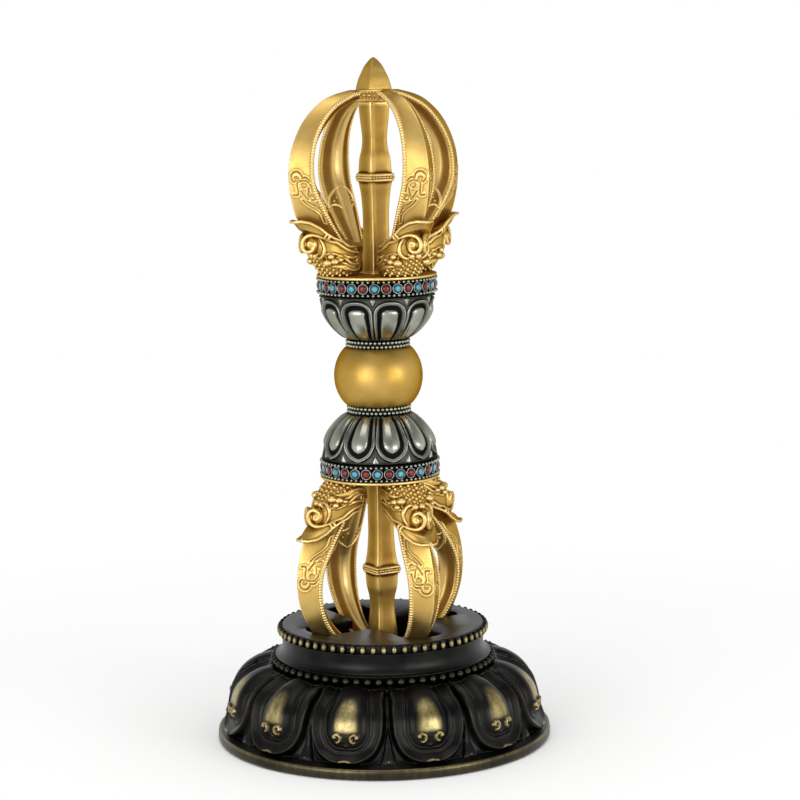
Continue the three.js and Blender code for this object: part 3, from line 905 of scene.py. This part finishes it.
def head_face():
    """The eye between its lids, the brows, and the two lines of the lip back to the corner of the mouth."""
    beads = [head_bead(*bead) for bead in (EYEBALL, *BROWS, CHEEK, *MOUTH_CORNER)]
    return beads + [
        head_ridge(UPPER_LID, ((0, 0.2), (0.5, 0.3), (1, 0.2)), 0.1),
        head_ridge(LOWER_LID, ((0, 0.2), (0.5, 0.34), (1, 0.2)), 0.1),
        head_ridge(UPPER_LIP, ((0, 0.40), (0.5, 0.60), (1, 0.45))),
        head_ridge(LOWER_LIP, ((0, 0.35), (0.5, 0.50), (1, 0.40))),
    ]


EAR_STRANDS = (
    [
        (-11.7, 8.6), (-10.3, 8.0), (-8.9, 6.8), (-7.6, 5.7), (-6.2, 5.2), (-5.2, 5.9), (-5.4, 6.8),
        (-6.1, 6.7), (-6.1, 6.1),
    ],
    [(-12.2, 5.8), (-10.1, 5.2), (-8.6, 4.1), (-7.2, 3.5), (-5.4, 3.6), (-4.1, 4.5), (-3.7, 5.9)],
    [(-11.7, 6.7), (-10.0, 6.2), (-8.7, 5.2), (-7.3, 4.5), (-5.9, 4.5)],
    [(-14.5, 5.3), (-12.6, 5.4), (-11.1, 5.0), (-9.5, 4.1), (-8.3, 3.3)],
    [(-9.8, 8.6), (-8.5, 7.8), (-7.2, 7.4), (-5.9, 7.5)],
)
# The rows of beads over the forehead: share of the way from the disc to the mouth, number of beads
MANE_ROWS = ((0.10, 9), (0.22, 9), (0.31, 8), (0.385, 5), (0.45, 3))
MANE_SPACING = 1.16


def head_mane():
    """Strands that sweep back from the eye to the curls of the ear, and the beaded forehead."""
    radii = ((0, 0.25), (0.3, 0.54), (0.8, 0.48), (1, 0.35))
    return [head_ridge(strand, radii) for strand in EAR_STRANDS] + mane_beads()


def mane_beads():
    """Staggered, slightly uneven beads over the forehead, in fewer columns above the brows."""
    beads = []
    for row, (level, count) in enumerate(MANE_ROWS):
        line = on_slice(level, np.linspace(0, 2.2, 300))
        along = arc_lengths(line)
        for i in range(count):
            wobble = math.sin(12.9 * i + 7.1 * row)
            spot = (i + 0.15 * wobble) * MANE_SPACING
            place = np.array([np.interp(spot, along, axis) for axis in line.T])
            step = 0.27 * (-1) ** i + 0.08 * wobble
            beads.append(bead_at(place + [0, 0, step], 0.47 + 0.04 * wobble, BEAD))
    return beads


def make_head():
    side = join(head_snout() + head_face() + head_mane())
    nose = bead_at((24.8, 0, 10.3), 2.2)
    shape = join([head_core(), side, mirrored(side), nose])
    mesh = fused("makara_head_look", moved(shape, [0, 0, CAGE_BASE]), HEAD_VOXEL)
    # Painted shade in the head's recesses and painted highlights on its raised parts
    add_relief_shading(mesh, (10, 0.18), (90, 1.1))
    return mesh


# The edges of an outer prong as in the CAD model: radius, height above the disc, share of the half width
OUTER_RIDGE = [
    (29.2, 20.0, 0), (31.0, 28.5, 0), (30.3, 38.4, 0), (25.8, 47.9, 0), (18.4, 54.5, 0), (10.0, 57.2, 0)
]
SIDE_EDGE = [
    (20.4, 19.4, 0.89), (25.0, 28.7, 1), (25.1, 37.7, 0.93), (22.1, 45.4, 0.79), (16.6, 51.8, 0.67),
    (9.6, 55.4, 0.55),
]
INNER_RIDGE = [
    (16.8, 19.5, 0.22), (22.4, 29.0, 0.25), (22.8, 37.3, 0.24), (20.2, 44.0, 0.21), (15.1, 49.8, 0.18),
    (9.1, 53.4, 0.14),
]
ENGRAVED_SHARE = 0.40  # of a prong's length, where its points are closer together for the vine
# The engraved vine on an outer facet: distance in from the side edge, height above the lip
VINE = [
    [(3.6, 14.3), (4.0, 15.6), (4.9, 16.3), (6.1, 16.2), (7.0, 15.3), (7.1, 14.2), (6.5, 13.3), (5.9, 13.5)],
    [(5.2, 13.2), (5.6, 12.5), (5.75, 11.4), (5.8, 10.3), (6.1, 9.3), (6.7, 9.0), (7.5, 9.1)],
    [(3.7, 14.3), (2.6, 14.5), (1.8, 13.9), (1.3, 13.0)],
    [(4.6, 13.4), (3.4, 13.5), (2.4, 13.3), (1.7, 12.5), (1.4, 11.4), (1.3, 10.1)],
    [(2.2, 11.2), (2.5, 10.1), (3.0, 8.9), (3.5, 7.5)],
    [(4.9, 10.2), (4.3, 8.7), (3.8, 7.6)],
    [(5.3, 7.2), (4.9, 6.4), (3.9, 5.1), (2.9, 4.2), (2.0, 2.9), (1.8, 1.6)],
    [(4.1, 6.9), (3.2, 5.7), (2.5, 4.8), (1.6, 4.0)],
    [(2.7, 5.7), (1.7, 5.0), (1.4, 4.0), (1.3, 2.9)],
    [(1.7, 2.2), (2.0, 1.2), (2.3, 0.1)],
]
# Its curls: middle, first angle, turns, outer and inner radius, number of points
VINE_CURLS = [
    ((5.5, 14.0), 0.5, 1.2, 0.75, 0.45, 16),
    ((3.5, 12.0), 3.4, -1.4, 0.85, 0.35, 22),
    ((2.0, 7.9), 2.6, -1.3, 1.0, 0.4, 22),
]
VINE_FOOT = 17.6  # how high above the disc the vine's heights start
FACET_COLUMNS = 44
NOTCH_PITCH = 0.9  # of the milled border


def prong_edges():
    """The outer ridge, a side edge and an inner ridge, from inside the mouth to the crown collar, with points
    that match. The prong leans out along X."""
    engraved = np.linspace(0.0, ENGRAVED_SHARE, 130, endpoint=False)
    shares = np.concatenate([engraved, np.linspace(ENGRAVED_SHARE, 1.0, 70)])

    def edge(foot_radius, middle, below_tip, end_half):
        foot = [foot_radius, look_up(LIP_EDGE, foot_radius) - MOUTH_DEPTH, end_half]
        crown = [CROWN_WIDTH / 2 + 0.3, FINIAL_BASE - CAGE_BASE - below_tip, end_half]
        radius, height, half = sample([foot, *middle, crown], shares).T
        return np.stack([radius, half * PRONG_HALF_WIDTH, height], axis=1)

    return edge(27.3, OUTER_RIDGE, 0.1, 0), edge(13, SIDE_EDGE, 1.4, 0.47), edge(11, INNER_RIDGE, 3.1, 0.12)


PRONG_EDGES = prong_edges()


def facet_lift(share, width, middle):
    """How far each point of an outer facet stands out: its slight crown, and the engraved vine."""
    along = arc_lengths(middle)
    above_foot = along - np.interp(VINE_FOOT, middle[:, 2], along)
    strokes = [smooth_path(points, 5 * len(points)) for points in VINE]
    strokes += [curl(*shape) for shape in VINE_CURLS]
    grid = np.broadcast_arrays(share * width[:, None], above_foot[:, None])
    distance = distance_to(strokes, *grid)
    raised = 0.15 * smoothstep(distance, 0.22, 0.38) * fade(distance, 0.55, 1.10)
    groove = -0.20 * fade(distance, 0.05, 0.30)
    keep_edges = smoothstep(share, 0.0, 0.08) * fade(share, 0.93, 1.0)
    crown = 0.22 * np.sin(math.pi * share) ** 0.7 * smoothstep(share, 0, 0.2)
    return (raised + groove) * keep_edges + crown


def make_prong():
    """A lozenge bar with an engraved vine on its outer facets and a milled border along each side."""
    ridge, side, inner = PRONG_EDGES
    across = ridge - side
    width = np.linalg.norm(across, axis=1)
    middle = (ridge + side) / 2
    normal = unit(np.cross(np.gradient(middle, axis=0), across))
    normal *= np.sign(normal[:, 1:2] + 1e-9)
    share = np.linspace(0, 1, FACET_COLUMNS)
    lift = facet_lift(share, width, middle)
    facet = side[:, None] + across[:, None] * share[:, None] + normal[:, None] * lift[:, :, None]
    back = side[:, None] + (inner - side)[:, None] * np.linspace(0, 1, 12)[1:, None]
    half_ring = np.concatenate([facet[:, ::-1], back], axis=1)
    rings = np.concatenate([half_ring, half_ring[:, :0:-1] * [1, -1, 1]], axis=1)
    body = capped(rings)

    border = milled_border(side, across)
    thin = tube((side + across / width[:, None] * 1.15 + normal * 0.10)[4:-2], 0.13, 6)
    shape = join([body, border, mirrored(border), thin, mirrored(thin), *inner_leaf()])
    mesh = to_mesh("prong_look", moved(shape, [0, 0, CAGE_BASE]))
    columns = rings.shape[1]
    column = np.arange(len(shape.points)) % columns
    inner_faces_in_painted_shade = (column > FACET_COLUMNS + 1) & (column < columns - FACET_COLUMNS - 1)
    inner_faces_in_painted_shade[len(body.points) - 2 :] = False
    # Painted shade on the inner faces and in the vine's grooves, and a slight painted highlight on the outer
    # facets
    add_relief_shading(mesh, (6, 0.24), painted_shading=0.76 * inner_faces_in_painted_shade - 0.22)
    return mesh


def milled_border(side, across):
    """A strip along the side edge, cut across by close notches."""
    inwards = unit(across)
    line, flat_along = np.hsplit(evenly(np.hstack([side + inwards * 0.42, inwards]), 0.135), 2)
    radius = 0.34 + 0.27 * np.abs(np.cos(math.pi * arc_lengths(line) / NOTCH_PITCH)) ** 0.6
    return tube(line[3:-3], radius[3:-3], squash=1.25, flat_along=flat_along[3])


def inner_place(sideways, height):
    """A point a little inside a prong's inner faces."""
    _, side, inner = PRONG_EDGES
    edge_out, edge_half = (np.interp(height, side[:, 2], side[:, k]) for k in (0, 1))
    ridge_out, ridge_half = (np.interp(height, inner[:, 2], inner[:, k]) for k in (0, 1))
    share = np.clip((abs(sideways) - ridge_half) / (edge_half - ridge_half), 0, 1)
    return [ridge_out + (edge_out - ridge_out) * share + 0.2, sideways, height]


# The leaf on a prong's inner faces: distance sideways, height above the disc
LEAF_ARCH = [(4.7, 19.8), (4.6, 21.4), (4.0, 23.2), (2.8, 24.9), (1.3, 26.2), (0, 27.0)]
LEAF_FOOT = [(4.6, 19.9), (3.6, 20.7), (2.4, 20.5), (1.7, 19.7)]
LEAF_VEIN = [(0, 27.0), (0, 25.4), (0, 23.8)]
LEAF_BEADS = (((3.1, 21.9), 0.55), ((1.4, 21.6), 0.5), ((2.3, 23.0), 0.4))


def inner_line(spots, radii):
    """A raised line over a prong's inner faces."""
    path = smooth_path([inner_place(*spot) for spot in spots], len(radii))
    return tube(path, radii)


def inner_leaf():
    """The pointed leaf on a prong's inner faces, above the back of the mouth, with curls at its foot."""
    taper = swelling(30, (0, 0.7), (0.5, 1), (1, 0.6))
    sides = [inner_line(LEAF_ARCH, taper * 0.62), inner_line(LEAF_FOOT, taper * 0.52)]
    sides += [bead_at(inner_place(*spot), (0.35, size, size)) for spot, size in LEAF_BEADS]
    return [inner_line(LEAF_VEIN, swelling(12, (0, 0.3), (1, 0.12))), *sides, *map(mirrored, sides)]


def squared_rings(stations, corner=0.09, flats=5):
    """Square rings with softly rounded corners from [side, height] stations."""
    cut = 2 * corner
    flat = [[1, (1 - cut) * (2 * k / flats - 1)] for k in range(flats)]
    bend = [[1 - cut + cut * math.cos(a), 1 - cut + cut * math.sin(a)] for a in np.arange(4) * math.pi / 8]
    square = np.vstack([np.array(flat + bend) @ about_z(turn)[:2, :2].T for turn in angles(4)])
    return np.array([np.insert(square * side / 2, 2, height, axis=1) for side, height in stations])


# The centre prong's side as a share of its foot's, and height above the disc
LOWER_SHAFT = [(1, 0), (0.9, 0.6), (0.84, 1.5), (0.81, 6), (0.80, 12), (0.79, 18.2), (0.87, 24.5), (1, 28.4)]
KNOT = [
    (1.02, 28.7), (1.13, 29.0), (1.15, 29.2), (1.15, 29.6), (1.06, 29.75),
    (1.06, 30.45), (1.15, 30.6), (1.15, 31.0), (1.13, 31.2), (1.02, 31.5),
]
UPPER_SHAFT = [(1, 31.8), (0.94, 35.8), (0.8, 38.9), (0.745, 42.3), (0.81, 46), (0.89, 49.8), (0.94, 53.8)]
KNOT_MIDDLE = 30.1
KNOT_BEADS = 9  # on each side
# The finial's side as a share of the centre prong's foot, and share of its height
BUD = [(1, 0), (1.05, 0.02), (0.99, 0.16), (0.88, 0.35), (0.72, 0.53), (0.54, 0.72), (0.25, 0.91), (0.03, 1)]


def make_centre_prong():
    stations = np.vstack([smooth_path(LOWER_SHAFT, 50), KNOT, smooth_path(UPPER_SHAFT, 50)])
    bar = capped(squared_rings(stations * [CENTRE_PRONG_SIDE, 1] + [0, CAGE_BASE]))
    half = CENTRE_PRONG_SIDE * max(side for side, _ in KNOT) / 2
    places = [
        about_z(turn) @ [half - 0.34, (2 * (k + 0.5) / KNOT_BEADS - 1) * half, CAGE_BASE + KNOT_MIDDLE]
        for turn in angles(4)
        for k in range(KNOT_BEADS)
    ]
    beads = copies(BEAD, [np.diag([0.50, 0.50, 0.42])] * len(places), places)
    mesh = to_mesh("centre_prong_look", join([bar, beads]))
    # Painted shade over the whole bar, as for a bar inside the cage, darker still in its recesses
    add_relief_shading(mesh, (3, 0.12), painted_shading=0.28)
    return mesh


def panel_plate(turn, outwards, middle):
    """A small upright plate with broken edges, which carries the beads."""
    rows = []
    for depth, inset in ((-0.6, 0), (0.35, 0), (0.45, 0.1), (0.45, 0.3)):
        wide, tall, cut = 2.95 - inset, 1.55 - inset, 0.15
        corners = [(wide, cut - tall), (wide, tall - cut), (wide - cut, tall), (cut - wide, tall)]
        loop = corners + [(-y, -z) for y, z in corners]
        rows.append([turn @ [outwards + depth, y, middle + z] for y, z in loop])
    return capped(np.array(rows))


def panel_beads(face, apothem, middle):
    """Two rows of six beads with three lozenges between them."""
    lozenges = ((-1.7, 0.5), (0, 0.72), (1.7, 0.5))
    rows = [
        bead_at(face @ [apothem + 0.42, (k - 2.5) * 0.99, middle + level], 0.4, BEAD)
        for level in (-1.1, 1.1)
        for k in range(6)
    ]
    return rows + [
        copies(BEAD, [face @ np.diag([0.3, half, 0.32])], [face @ [apothem + 0.4, sideways, middle]])
        for sideways, half in lozenges
    ]


# The crown collar's outside: distance in from its corners, height
CROWN_LINE = [(0.5, 0), (0.12, 0.18), (0.02, 0.4), (0.02, 3.3), (0.12, 3.52), (0.5, 3.7)]
CROWN_HOLE = 3.3  # its radius, at the corners


def make_crown():
    """An eight-sided collar with a beaded panel on each side between two prongs."""
    low, high = CROWN_BASE, FINIAL_BASE
    middle = (low + high) / 2
    apothem = CROWN_WIDTH / 2
    corner = apothem / math.cos(math.pi / 8)
    scale = (high - low) / CROWN_LINE[-1][1]
    outside = [(corner - inset, low + height * scale) for inset, height in CROWN_LINE]
    core = turned([(CROWN_HOLE, low), *outside, (CROWN_HOLE, high)], 8)
    core = core._replace(points=core.points @ about_z(math.pi / 8).T)
    faces = [about_z(math.pi / 4 + turn) for turn in angles(4)]
    ground = join([core, *(panel_plate(face, apothem, middle) for face in faces)])
    shape = join([ground, *(bead for face in faces for bead in panel_beads(face, apothem, middle))])
    mesh = to_mesh("crown_collar_look", shape)
    # Painted shade on the collar and the panels' ground, so that the beads show paler against it
    ground_in_painted_shade = np.arange(len(shape.points)) < len(ground.points)
    add_relief_shading(mesh, (2, 0.15), painted_shading=0.5 * ground_in_painted_shade)
    return mesh


def make_finial():
    line = smooth_path(np.array(BUD) * [CENTRE_PRONG_SIDE, TIP - FINIAL_BASE] + [0, FINIAL_BASE], 50)
    line = np.clip(line, [0.2, FINIAL_BASE], [np.inf, TIP])
    return to_mesh("finial_look", capped(squared_rings(line, corner=0.05, flats=8)))


# The stand. The outside of its ring of petals: radius, height
LOTUS_LINE = [
    (52.5, 3.8), (52.0, 6.0), (50.6, 9.5), (49.8, 13.5), (48.6, 17.4), (46.2, 20.6), (43.0, 22.9),
    (40.0, 24.2), (37.4, 24.8),
]
# How a petal rises and falls inwards from its outline: distance in, height
LOBE_FALL = [
    (-3.0, -3.1), (-1.0, -2.7), (-0.35, -1.7), (0.0, -0.35), (0.3, 0.05), (0.65, 0.0), (1.0, -0.30),
    (2.4, -0.95), (3.3, -1.10), (3.55, -0.72), (3.85, -0.72), (4.15, -1.30), (4.7, -1.35), (5.3, -0.75),
    (6.4, -0.10), (7.8, 0.25), (11, 0.40),
]
# Its outline up to the neck: half width, distance along the outside
LOBE_OUTLINE = [(0, 0.9), (4.5, 1.3), (8.6, 3.9), (10.9, 8.3), (11.3, 12.4), (10.9, 16.9), (9.9, 21.4)]
CURL_RADIUS = 0.4  # of the bar of a petal's paired curls


def hump(value, middle, width):
    return np.exp(-(((value - middle) / width) ** 2))


def petal_marks(across, along):
    """The raised marks on a petal: paired curls, the boss below them and the rim's crescent, each with its
    height and its rub."""
    curls = [curl((2.8, 8.5), 4.6, -0.70, 1.4, 1.0, 30), [(3.3, 8.65), (3.45, 8.7)]]
    in_curl = fade(distance_to(curls, across, along), CURL_RADIUS - 0.2, CURL_RADIUS + 0.25)
    boss = fade(np.hypot(across, along - 6.0), 0.3, 0.9)
    rim = smooth_path([(0, 1.75), (0.9, 1.55), (2.2, 1.2)], 8)
    crescent = fade(distance_to([rim], across, along), 0.15, 0.42)
    return (in_curl, 0.95, 0.98), (boss, 0.6, 0.05), (crescent, 0.3, 0.75 * fade(across, 1.3, 2.2))


def lotus_relief(outer, columns):
    """The height and the share of brass of each point of the petal ring: rubbed wear, with a faint painted
    highlight along the outlines.
    """
    across, along, to_gap = petal_grid(outer, columns, STAND_PETALS, 0)
    edge = smooth_path([*LOBE_OUTLINE, (9.0, along[-1, 0])], 70)
    inwards = depth_inside(edge, across, along, left=0)
    relief = look_up(LOBE_FALL, inwards)
    # A faint painted highlight along the petal's raised outlines
    rub_and_highlight = 0.05 * hump(inwards, 0.3, 0.28) + 0.03 * hump(inwards, 3.7, 0.25)

    # The lobe's crest, rubbed to brass
    crest_half = np.interp(along, [9.9, 12.9, 16.9, 20.9, 23.9], [4.0, 3.9, 3.3, 2.2, 0.8])
    crest = fade(across, crest_half - 2.2, crest_half + 0.6) * smoothstep(along, 9.7, 11.3)
    rub_and_highlight += 0.95 * crest * fade(along, 16.9, 22.4) * smoothstep(inwards, 4.9, 6.4)
    for mark, height, worn_and_highlight in petal_marks(across, along):
        relief += height * mark
        rub_and_highlight = np.maximum(rub_and_highlight, worn_and_highlight * mark)

    # The sepal between two petals, with a dot at its tip
    leaf_half = np.interp(along, [0.5, 1.2, 5.5, 12], [2.6, 2.7, 1.4, 0.25])
    leaf = fade(to_gap, leaf_half - 0.45, leaf_half) * (inwards < -0.4)
    leaf_height = np.interp(along, [0, 1, 6, 14], [1.5, 1.7, 1.1, 0.3])
    leaf_height += 0.35 * np.maximum(0, 1 - to_gap / 1.2)
    dot = fade(np.hypot(to_gap, along - 1.6), 0.15, 0.45)
    top_lines = hump(to_gap, 1.15, 0.25) * smoothstep(along, 14, 19) * (inwards < 0)
    relief += leaf * leaf_height + 0.4 * dot + 0.9 * top_lines
    rub_and_highlight = np.maximum(rub_and_highlight, 0.5 * dot)
    foot = fade(along, 0.1, 0.8)
    return toward(relief, -1.2, foot), rub_and_highlight * (1 - foot)


# The foot flange: distance in from the stand's radius, height, how rubbed it is
FLANGE = [
    (3, 0, 0), (0.5, 0, 0.34), (0.1, 0.35, 0.20), (0, 1.0, 0.10), (0, 2.2, 0.12), (0.12, 2.9, 0.46),
    (0.5, 3.25, 0.46), (1.1, 3.3, 0.12), (1.6, 3.0, 0.02),
]


def make_lotus_base():
    """The hollow lotus casting: foot flange with a rubbed edge, and twelve petals."""
    outer = evenly(smooth_path(LOTUS_LINE, 400), 0.26)
    columns = 90 * STAND_PETALS
    relief, rub_and_highlight = lotus_relief(outer, columns)
    seat_inner, seat_outer = NECK_RADIUS - 1.9, NECK_RADIUS + 4.3
    flange = [(STAND_RADIUS - inset, height) for inset, height, _ in FLANGE]
    seat = [(seat_outer, BASE_TOP), (seat_inner, BASE_TOP), (seat_inner, BASE_TOP - 3)]
    inside = [*seat, (41.5, 18.5), (45, 7)]
    plain_rows = ((len(flange), len(inside)), (0, 0))
    worn_and_highlight = np.pad(rub_and_highlight, plain_rows)
    patches = 0.75 + 0.25 * np.sin(5 * angles(columns)) * np.sin(13 * angles(columns) + 1)
    worn_and_highlight[: len(flange)] = np.array([wear for *_, wear in FLANGE])[:, None] * patches
    shape = turned(np.vstack([flange, outer, inside]), columns, np.pad(relief, plain_rows))
    mesh = to_mesh("lotus_base_look", shape, {"rub_and_highlight": worn_and_highlight})
    add_piece("lotus_casting", mesh, BRONZE, "stand", "patinated_bronze", "lotus_base")


def beaded_mesh(name, body, beads, root, strength):
    """A body with a ring of beads, which turn to brass where they stand out most from the root's radius:
    partly rubbed wear, partly a painted highlight.
    """
    out = from_axis(beads.points)
    # Painted highlight and wear on the beads' outer faces
    rub_and_highlight = strength * smoothstep(out, root + (out.max() - root) * 0.55, out.max())
    return to_mesh(name, join([body, beads]), {"rub_and_highlight": np.concatenate([np.zeros(len(body.points)), rub_and_highlight])})


# The drum's outside above its beads: distance out from the neck's radius, height
NECK_LINE = [(2.3, 3.0), (1.2, 3.5), (0.35, 4.7), (0, 6.3), (0.1, 8.2), (0.3, 9.6)]


def make_neck():
    """The hollow drum, waisted above a ring of round beads."""
    inner, root = NECK_RADIUS - 2.3, NECK_RADIUS + 2.2
    line = smooth_path(np.array(NECK_LINE) + [NECK_RADIUS, 0], 30)
    section = np.vstack([[(inner, 0), (root, 0), (root, 2.8)], line, [(inner, NECK_LINE[-1][1])]])
    core = turned(section + [0, BASE_TOP], 192)
    bead = 1.2
    beads = bead_ring(STAND_BEADS, NECK_RADIUS + 3.9 - bead, BASE_TOP + 1.45, (bead, bead, bead), bead=PEARL)
    mesh = beaded_mesh("neck_look", core, beads, root, 0.12)
    add_piece("beaded_neck", mesh, BRONZE, "stand", "patinated_bronze", "neck_drum")


# The room round a prong in the plate: beside it, and at its outer end
SLOT_SIDE_ROOM = 0.7
SLOT_END_ROOM = 0.3


def cross_opening():
    """The outline of the plate's opening, one arm after another, as in the CAD model."""
    arm = PRONG_HALF_WIDTH + SLOT_SIDE_ROOM
    tongue = arm * 1.12
    level = (TIP - CAGE_BASE) - (PLATE_TOP - (MIDDLE - TIP))
    ridge = smooth_path(OUTER_RIDGE, 101)
    end = float(ridge[ridge[:, 1] >= level][0, 0]) + SLOT_END_ROOM
    quarter = [
        (end, -arm * 0.55), (end, arm * 0.55), (end - 1.2, arm),
        (tongue + 3, arm), (tongue, tongue), (arm, tongue + 3), (arm, end - 1.2),
    ]
    return np.vstack([np.array(quarter) @ about_z(turn)[:2, :2].T for turn in angles(4)])


def make_plate():
    """The top plate: a disc with a softly edged cross opening, and upright oval beads round its rim."""
    outline = cross_opening()
    opening = evenly(np.vstack([outline, outline[:1]]), 0.5)[:-1]
    circle = round_axis(PLATE_RADIUS - 2.0, np.arctan2(opening[:, 1], opening[:, 0]), 0)[:, :2]
    bevel = 0.25 * unit(opening)
    low, high = NECK_TOP, PLATE_TOP
    lines = [
        (opening + bevel, low),
        (circle, low),
        (circle * 1.012, low + 0.4),
        (circle * 1.012, high - 0.5),
        (circle * 1.004, high - 0.12),
        (circle * 0.992, high),
        (circle * 0.97, high - 0.04),
        (circle * 0.90, high - 0.06),
        (opening + bevel, high - 0.06),
        (opening + bevel * 0.3, high - 0.16),
        (opening, high - 0.35),
        (opening, low + 0.25),
    ]
    body = looped(np.array([np.insert(line, 2, height, axis=1) for line, height in lines]))
    size = (1.1, 0.95, 1.42)
    start = math.pi / STAND_BEADS
    beads = bead_ring(STAND_BEADS, PLATE_RADIUS - size[0], (low + high) / 2, size, start, PEARL)
    mesh = beaded_mesh("plate_look", body, beads, PLATE_RADIUS - 1.6, 1.0)
    add_piece("slotted_plate", mesh, BRONZE, "stand", "patinated_bronze", "top_plate")


# The floor, the light and the camera. Sizes and places here are in metres
FLOOR_HALF = 40.0
FLOOR_DROP = 0.0002  # under the stand's foot
SHADOW_REACH = (0.09, 0.30)  # where the floor starts to turn white, and where it is
WORLD_STRENGTH = 0.72


def make_floor():
    """A pale floor that takes the object's shadow, and turns plain white away from it."""
    mesh = bpy.data.meshes.new("floor")
    corners = [(x * FLOOR_HALF, y * FLOOR_HALF, 0) for x, y in ((-1, -1), (1, -1), (1, 1), (-1, 1))]
    mesh.from_pydata(corners, [], [(0, 1, 2, 3)])
    floor = add_object("floor", mesh)
    nodes = material_nodes("pale_floor")
    shader = nodes.tree.nodes["Principled BSDF"]
    for label, value in (("Base Color", FLOOR_COLOUR), ("Roughness", 0.8), ("Specular IOR Level", 0.1)):
        shader.inputs[label].default_value = value
    away = nodes.node("VectorMath", {0: nodes.coordinates["Object"]}, operation="LENGTH")
    far = nodes.spread(away.outputs["Value"], *SHADOW_REACH)
    share = nodes.math("MULTIPLY", far, nodes.seen_share())
    nodes.white_where(share, shader, nodes.node("Emission"), "Material Output")
    mesh.materials.append(nodes.owner)
    floor.location.z = -FLOOR_DROP


def make_world():
    """White walls all round, which fade to a grey ceiling overhead."""
    world = bpy.data.worlds.new("studio")
    bpy.context.scene.world = world
    nodes = Nodes(world)
    ordinary = nodes.tree.nodes["Background"]
    ordinary.inputs["Color"].default_value = WHITE
    ordinary.inputs["Strength"].default_value = WORLD_STRENGTH
    height = nodes.node("SeparateXYZ", {0: nodes.coordinates["Generated"]}).outputs["Z"]
    white = nodes.node("Background", {"Color": nodes.ramp(height, (0.25, WHITE), (0.75, CEILING_GREY))})
    nodes.white_where(nodes.seen_share(), ordinary, white, "World Output")


def add_lamp(name, place, size, power, target=(0, 0, 0.11)):
    light = bpy.data.lights.new(name, "AREA")
    light.shape = "RECTANGLE"
    light.size, light.size_y = size
    light.energy = power
    lamp = add_object(name, light)
    lamp.location = place
    lamp.rotation_euler = (Vector(target) - Vector(place)).to_track_quat("-Z", "Y").to_euler()


def make_lamps():
    """A large soft box to the camera's left, a smaller one to its right and one overhead."""
    add_lamp("left_box", (-0.96, -0.47, 0.16), (0.70, 0.66), 6.0)
    add_lamp("right_box", (0.28, -1.03, 0.16), (0.60, 0.66), 5.0)
    add_lamp("top_box", (-0.1, -0.1, 1.2), (0.8, 0.8), 4.0)


VIEW_AZIMUTH = math.radians(-31.3)
VIEW_ELEVATION = math.radians(7.506)
VIEW_DISTANCE = 0.74815
VIEW_ROLL = 0.0166
IMAGE_SIZE = 800  # pixels
FOCAL_PIXELS = 2356.4
BALL_PIXEL = (378.44, 374.76)  # where the photograph shows the middle of the ball


def make_camera():
    data = bpy.data.cameras.new("camera")
    data.sensor_width = 36
    data.lens = FOCAL_PIXELS * data.sensor_width / IMAGE_SIZE
    data.shift_x = (IMAGE_SIZE / 2 - BALL_PIXEL[0]) / IMAGE_SIZE
    data.shift_y = (BALL_PIXEL[1] - IMAGE_SIZE / 2) / IMAGE_SIZE
    camera = add_object("camera", data)
    across = Vector((math.cos(VIEW_AZIMUTH), math.sin(VIEW_AZIMUTH), 0))
    toward_camera = Vector((math.sin(VIEW_AZIMUTH), -math.cos(VIEW_AZIMUTH), 0))
    away = toward_camera * math.cos(VIEW_ELEVATION) + Vector((0, 0, math.sin(VIEW_ELEVATION)))
    upright = away.cross(across)
    up = upright * math.cos(VIEW_ROLL) + across * math.sin(VIEW_ROLL)
    right = across * math.cos(VIEW_ROLL) - upright * math.sin(VIEW_ROLL)
    turn = Matrix((right, up, away)).transposed().to_4x4()
    place = Vector((0, 0, MIDDLE * MM)) + away * VIEW_DISTANCE
    camera.matrix_world = Matrix.Translation(place) @ turn
    bpy.context.scene.camera = camera


def build_vajra():
    make_ball()
    collar = make_collar()
    band = make_band()
    coral, turquoise = make_stones(0), make_stones(1)
    disc = make_disc()
    centre = make_centre_prong()
    crown = make_crown()
    finial = make_finial()
    head = make_head()
    prong = make_prong()
    for end in ENDS:
        plain = (
            ("waist_beads", collar, SILVER, "antique_silver", "waist_collar"),
            ("petal_bowl", make_bowl(end), SILVER, "antique_silver", "lotus_bowl"),
            ("bezel_band", band, SILVER, "antique_silver", "jewel_band"),
            ("turquoise_stones", turquoise, TURQUOISE, "stones", "stone_row"),
            ("gilt_disc", disc, GOLD, "gilt", "seat_disc"),
            ("square_prong", centre, BRUSHED_GOLD, "gilt", "centre_prong"),
            ("beaded_crown", crown, GOLD, "gilt", "crown_collar"),
            ("brushed_tip", finial, BRUSHED_GOLD, "gilt", "finial"),
        )
        for name, mesh, material, slot, node in plain:
            add_piece(f"{end}_{name}", mesh, material, "vajra", slot, f"{end}_{node}")
        add_piece(f"{end}_coral_stones", coral, CORAL, "vajra", "stones")
        for side in SIDES:
            add_piece(f"{end}_carved_head_{side}", head, GOLD, "vajra", "gilt", f"{end}_makara_{side}")
            add_piece(f"{end}_engraved_prong_{side}", prong, GOLD, "vajra", "gilt", f"{end}_prong_{side}")


def dress_tie_rod():
    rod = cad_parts["tie_rod"]
    rod.data.materials.clear()
    rod.data.materials.append(STEEL)


make_camera()
build_vajra()
dress_tie_rod()
make_lotus_base()
make_neck()
make_plate()
make_floor()
make_world()
make_lamps()
bpy.context.scene.view_settings.view_transform = "Standard"
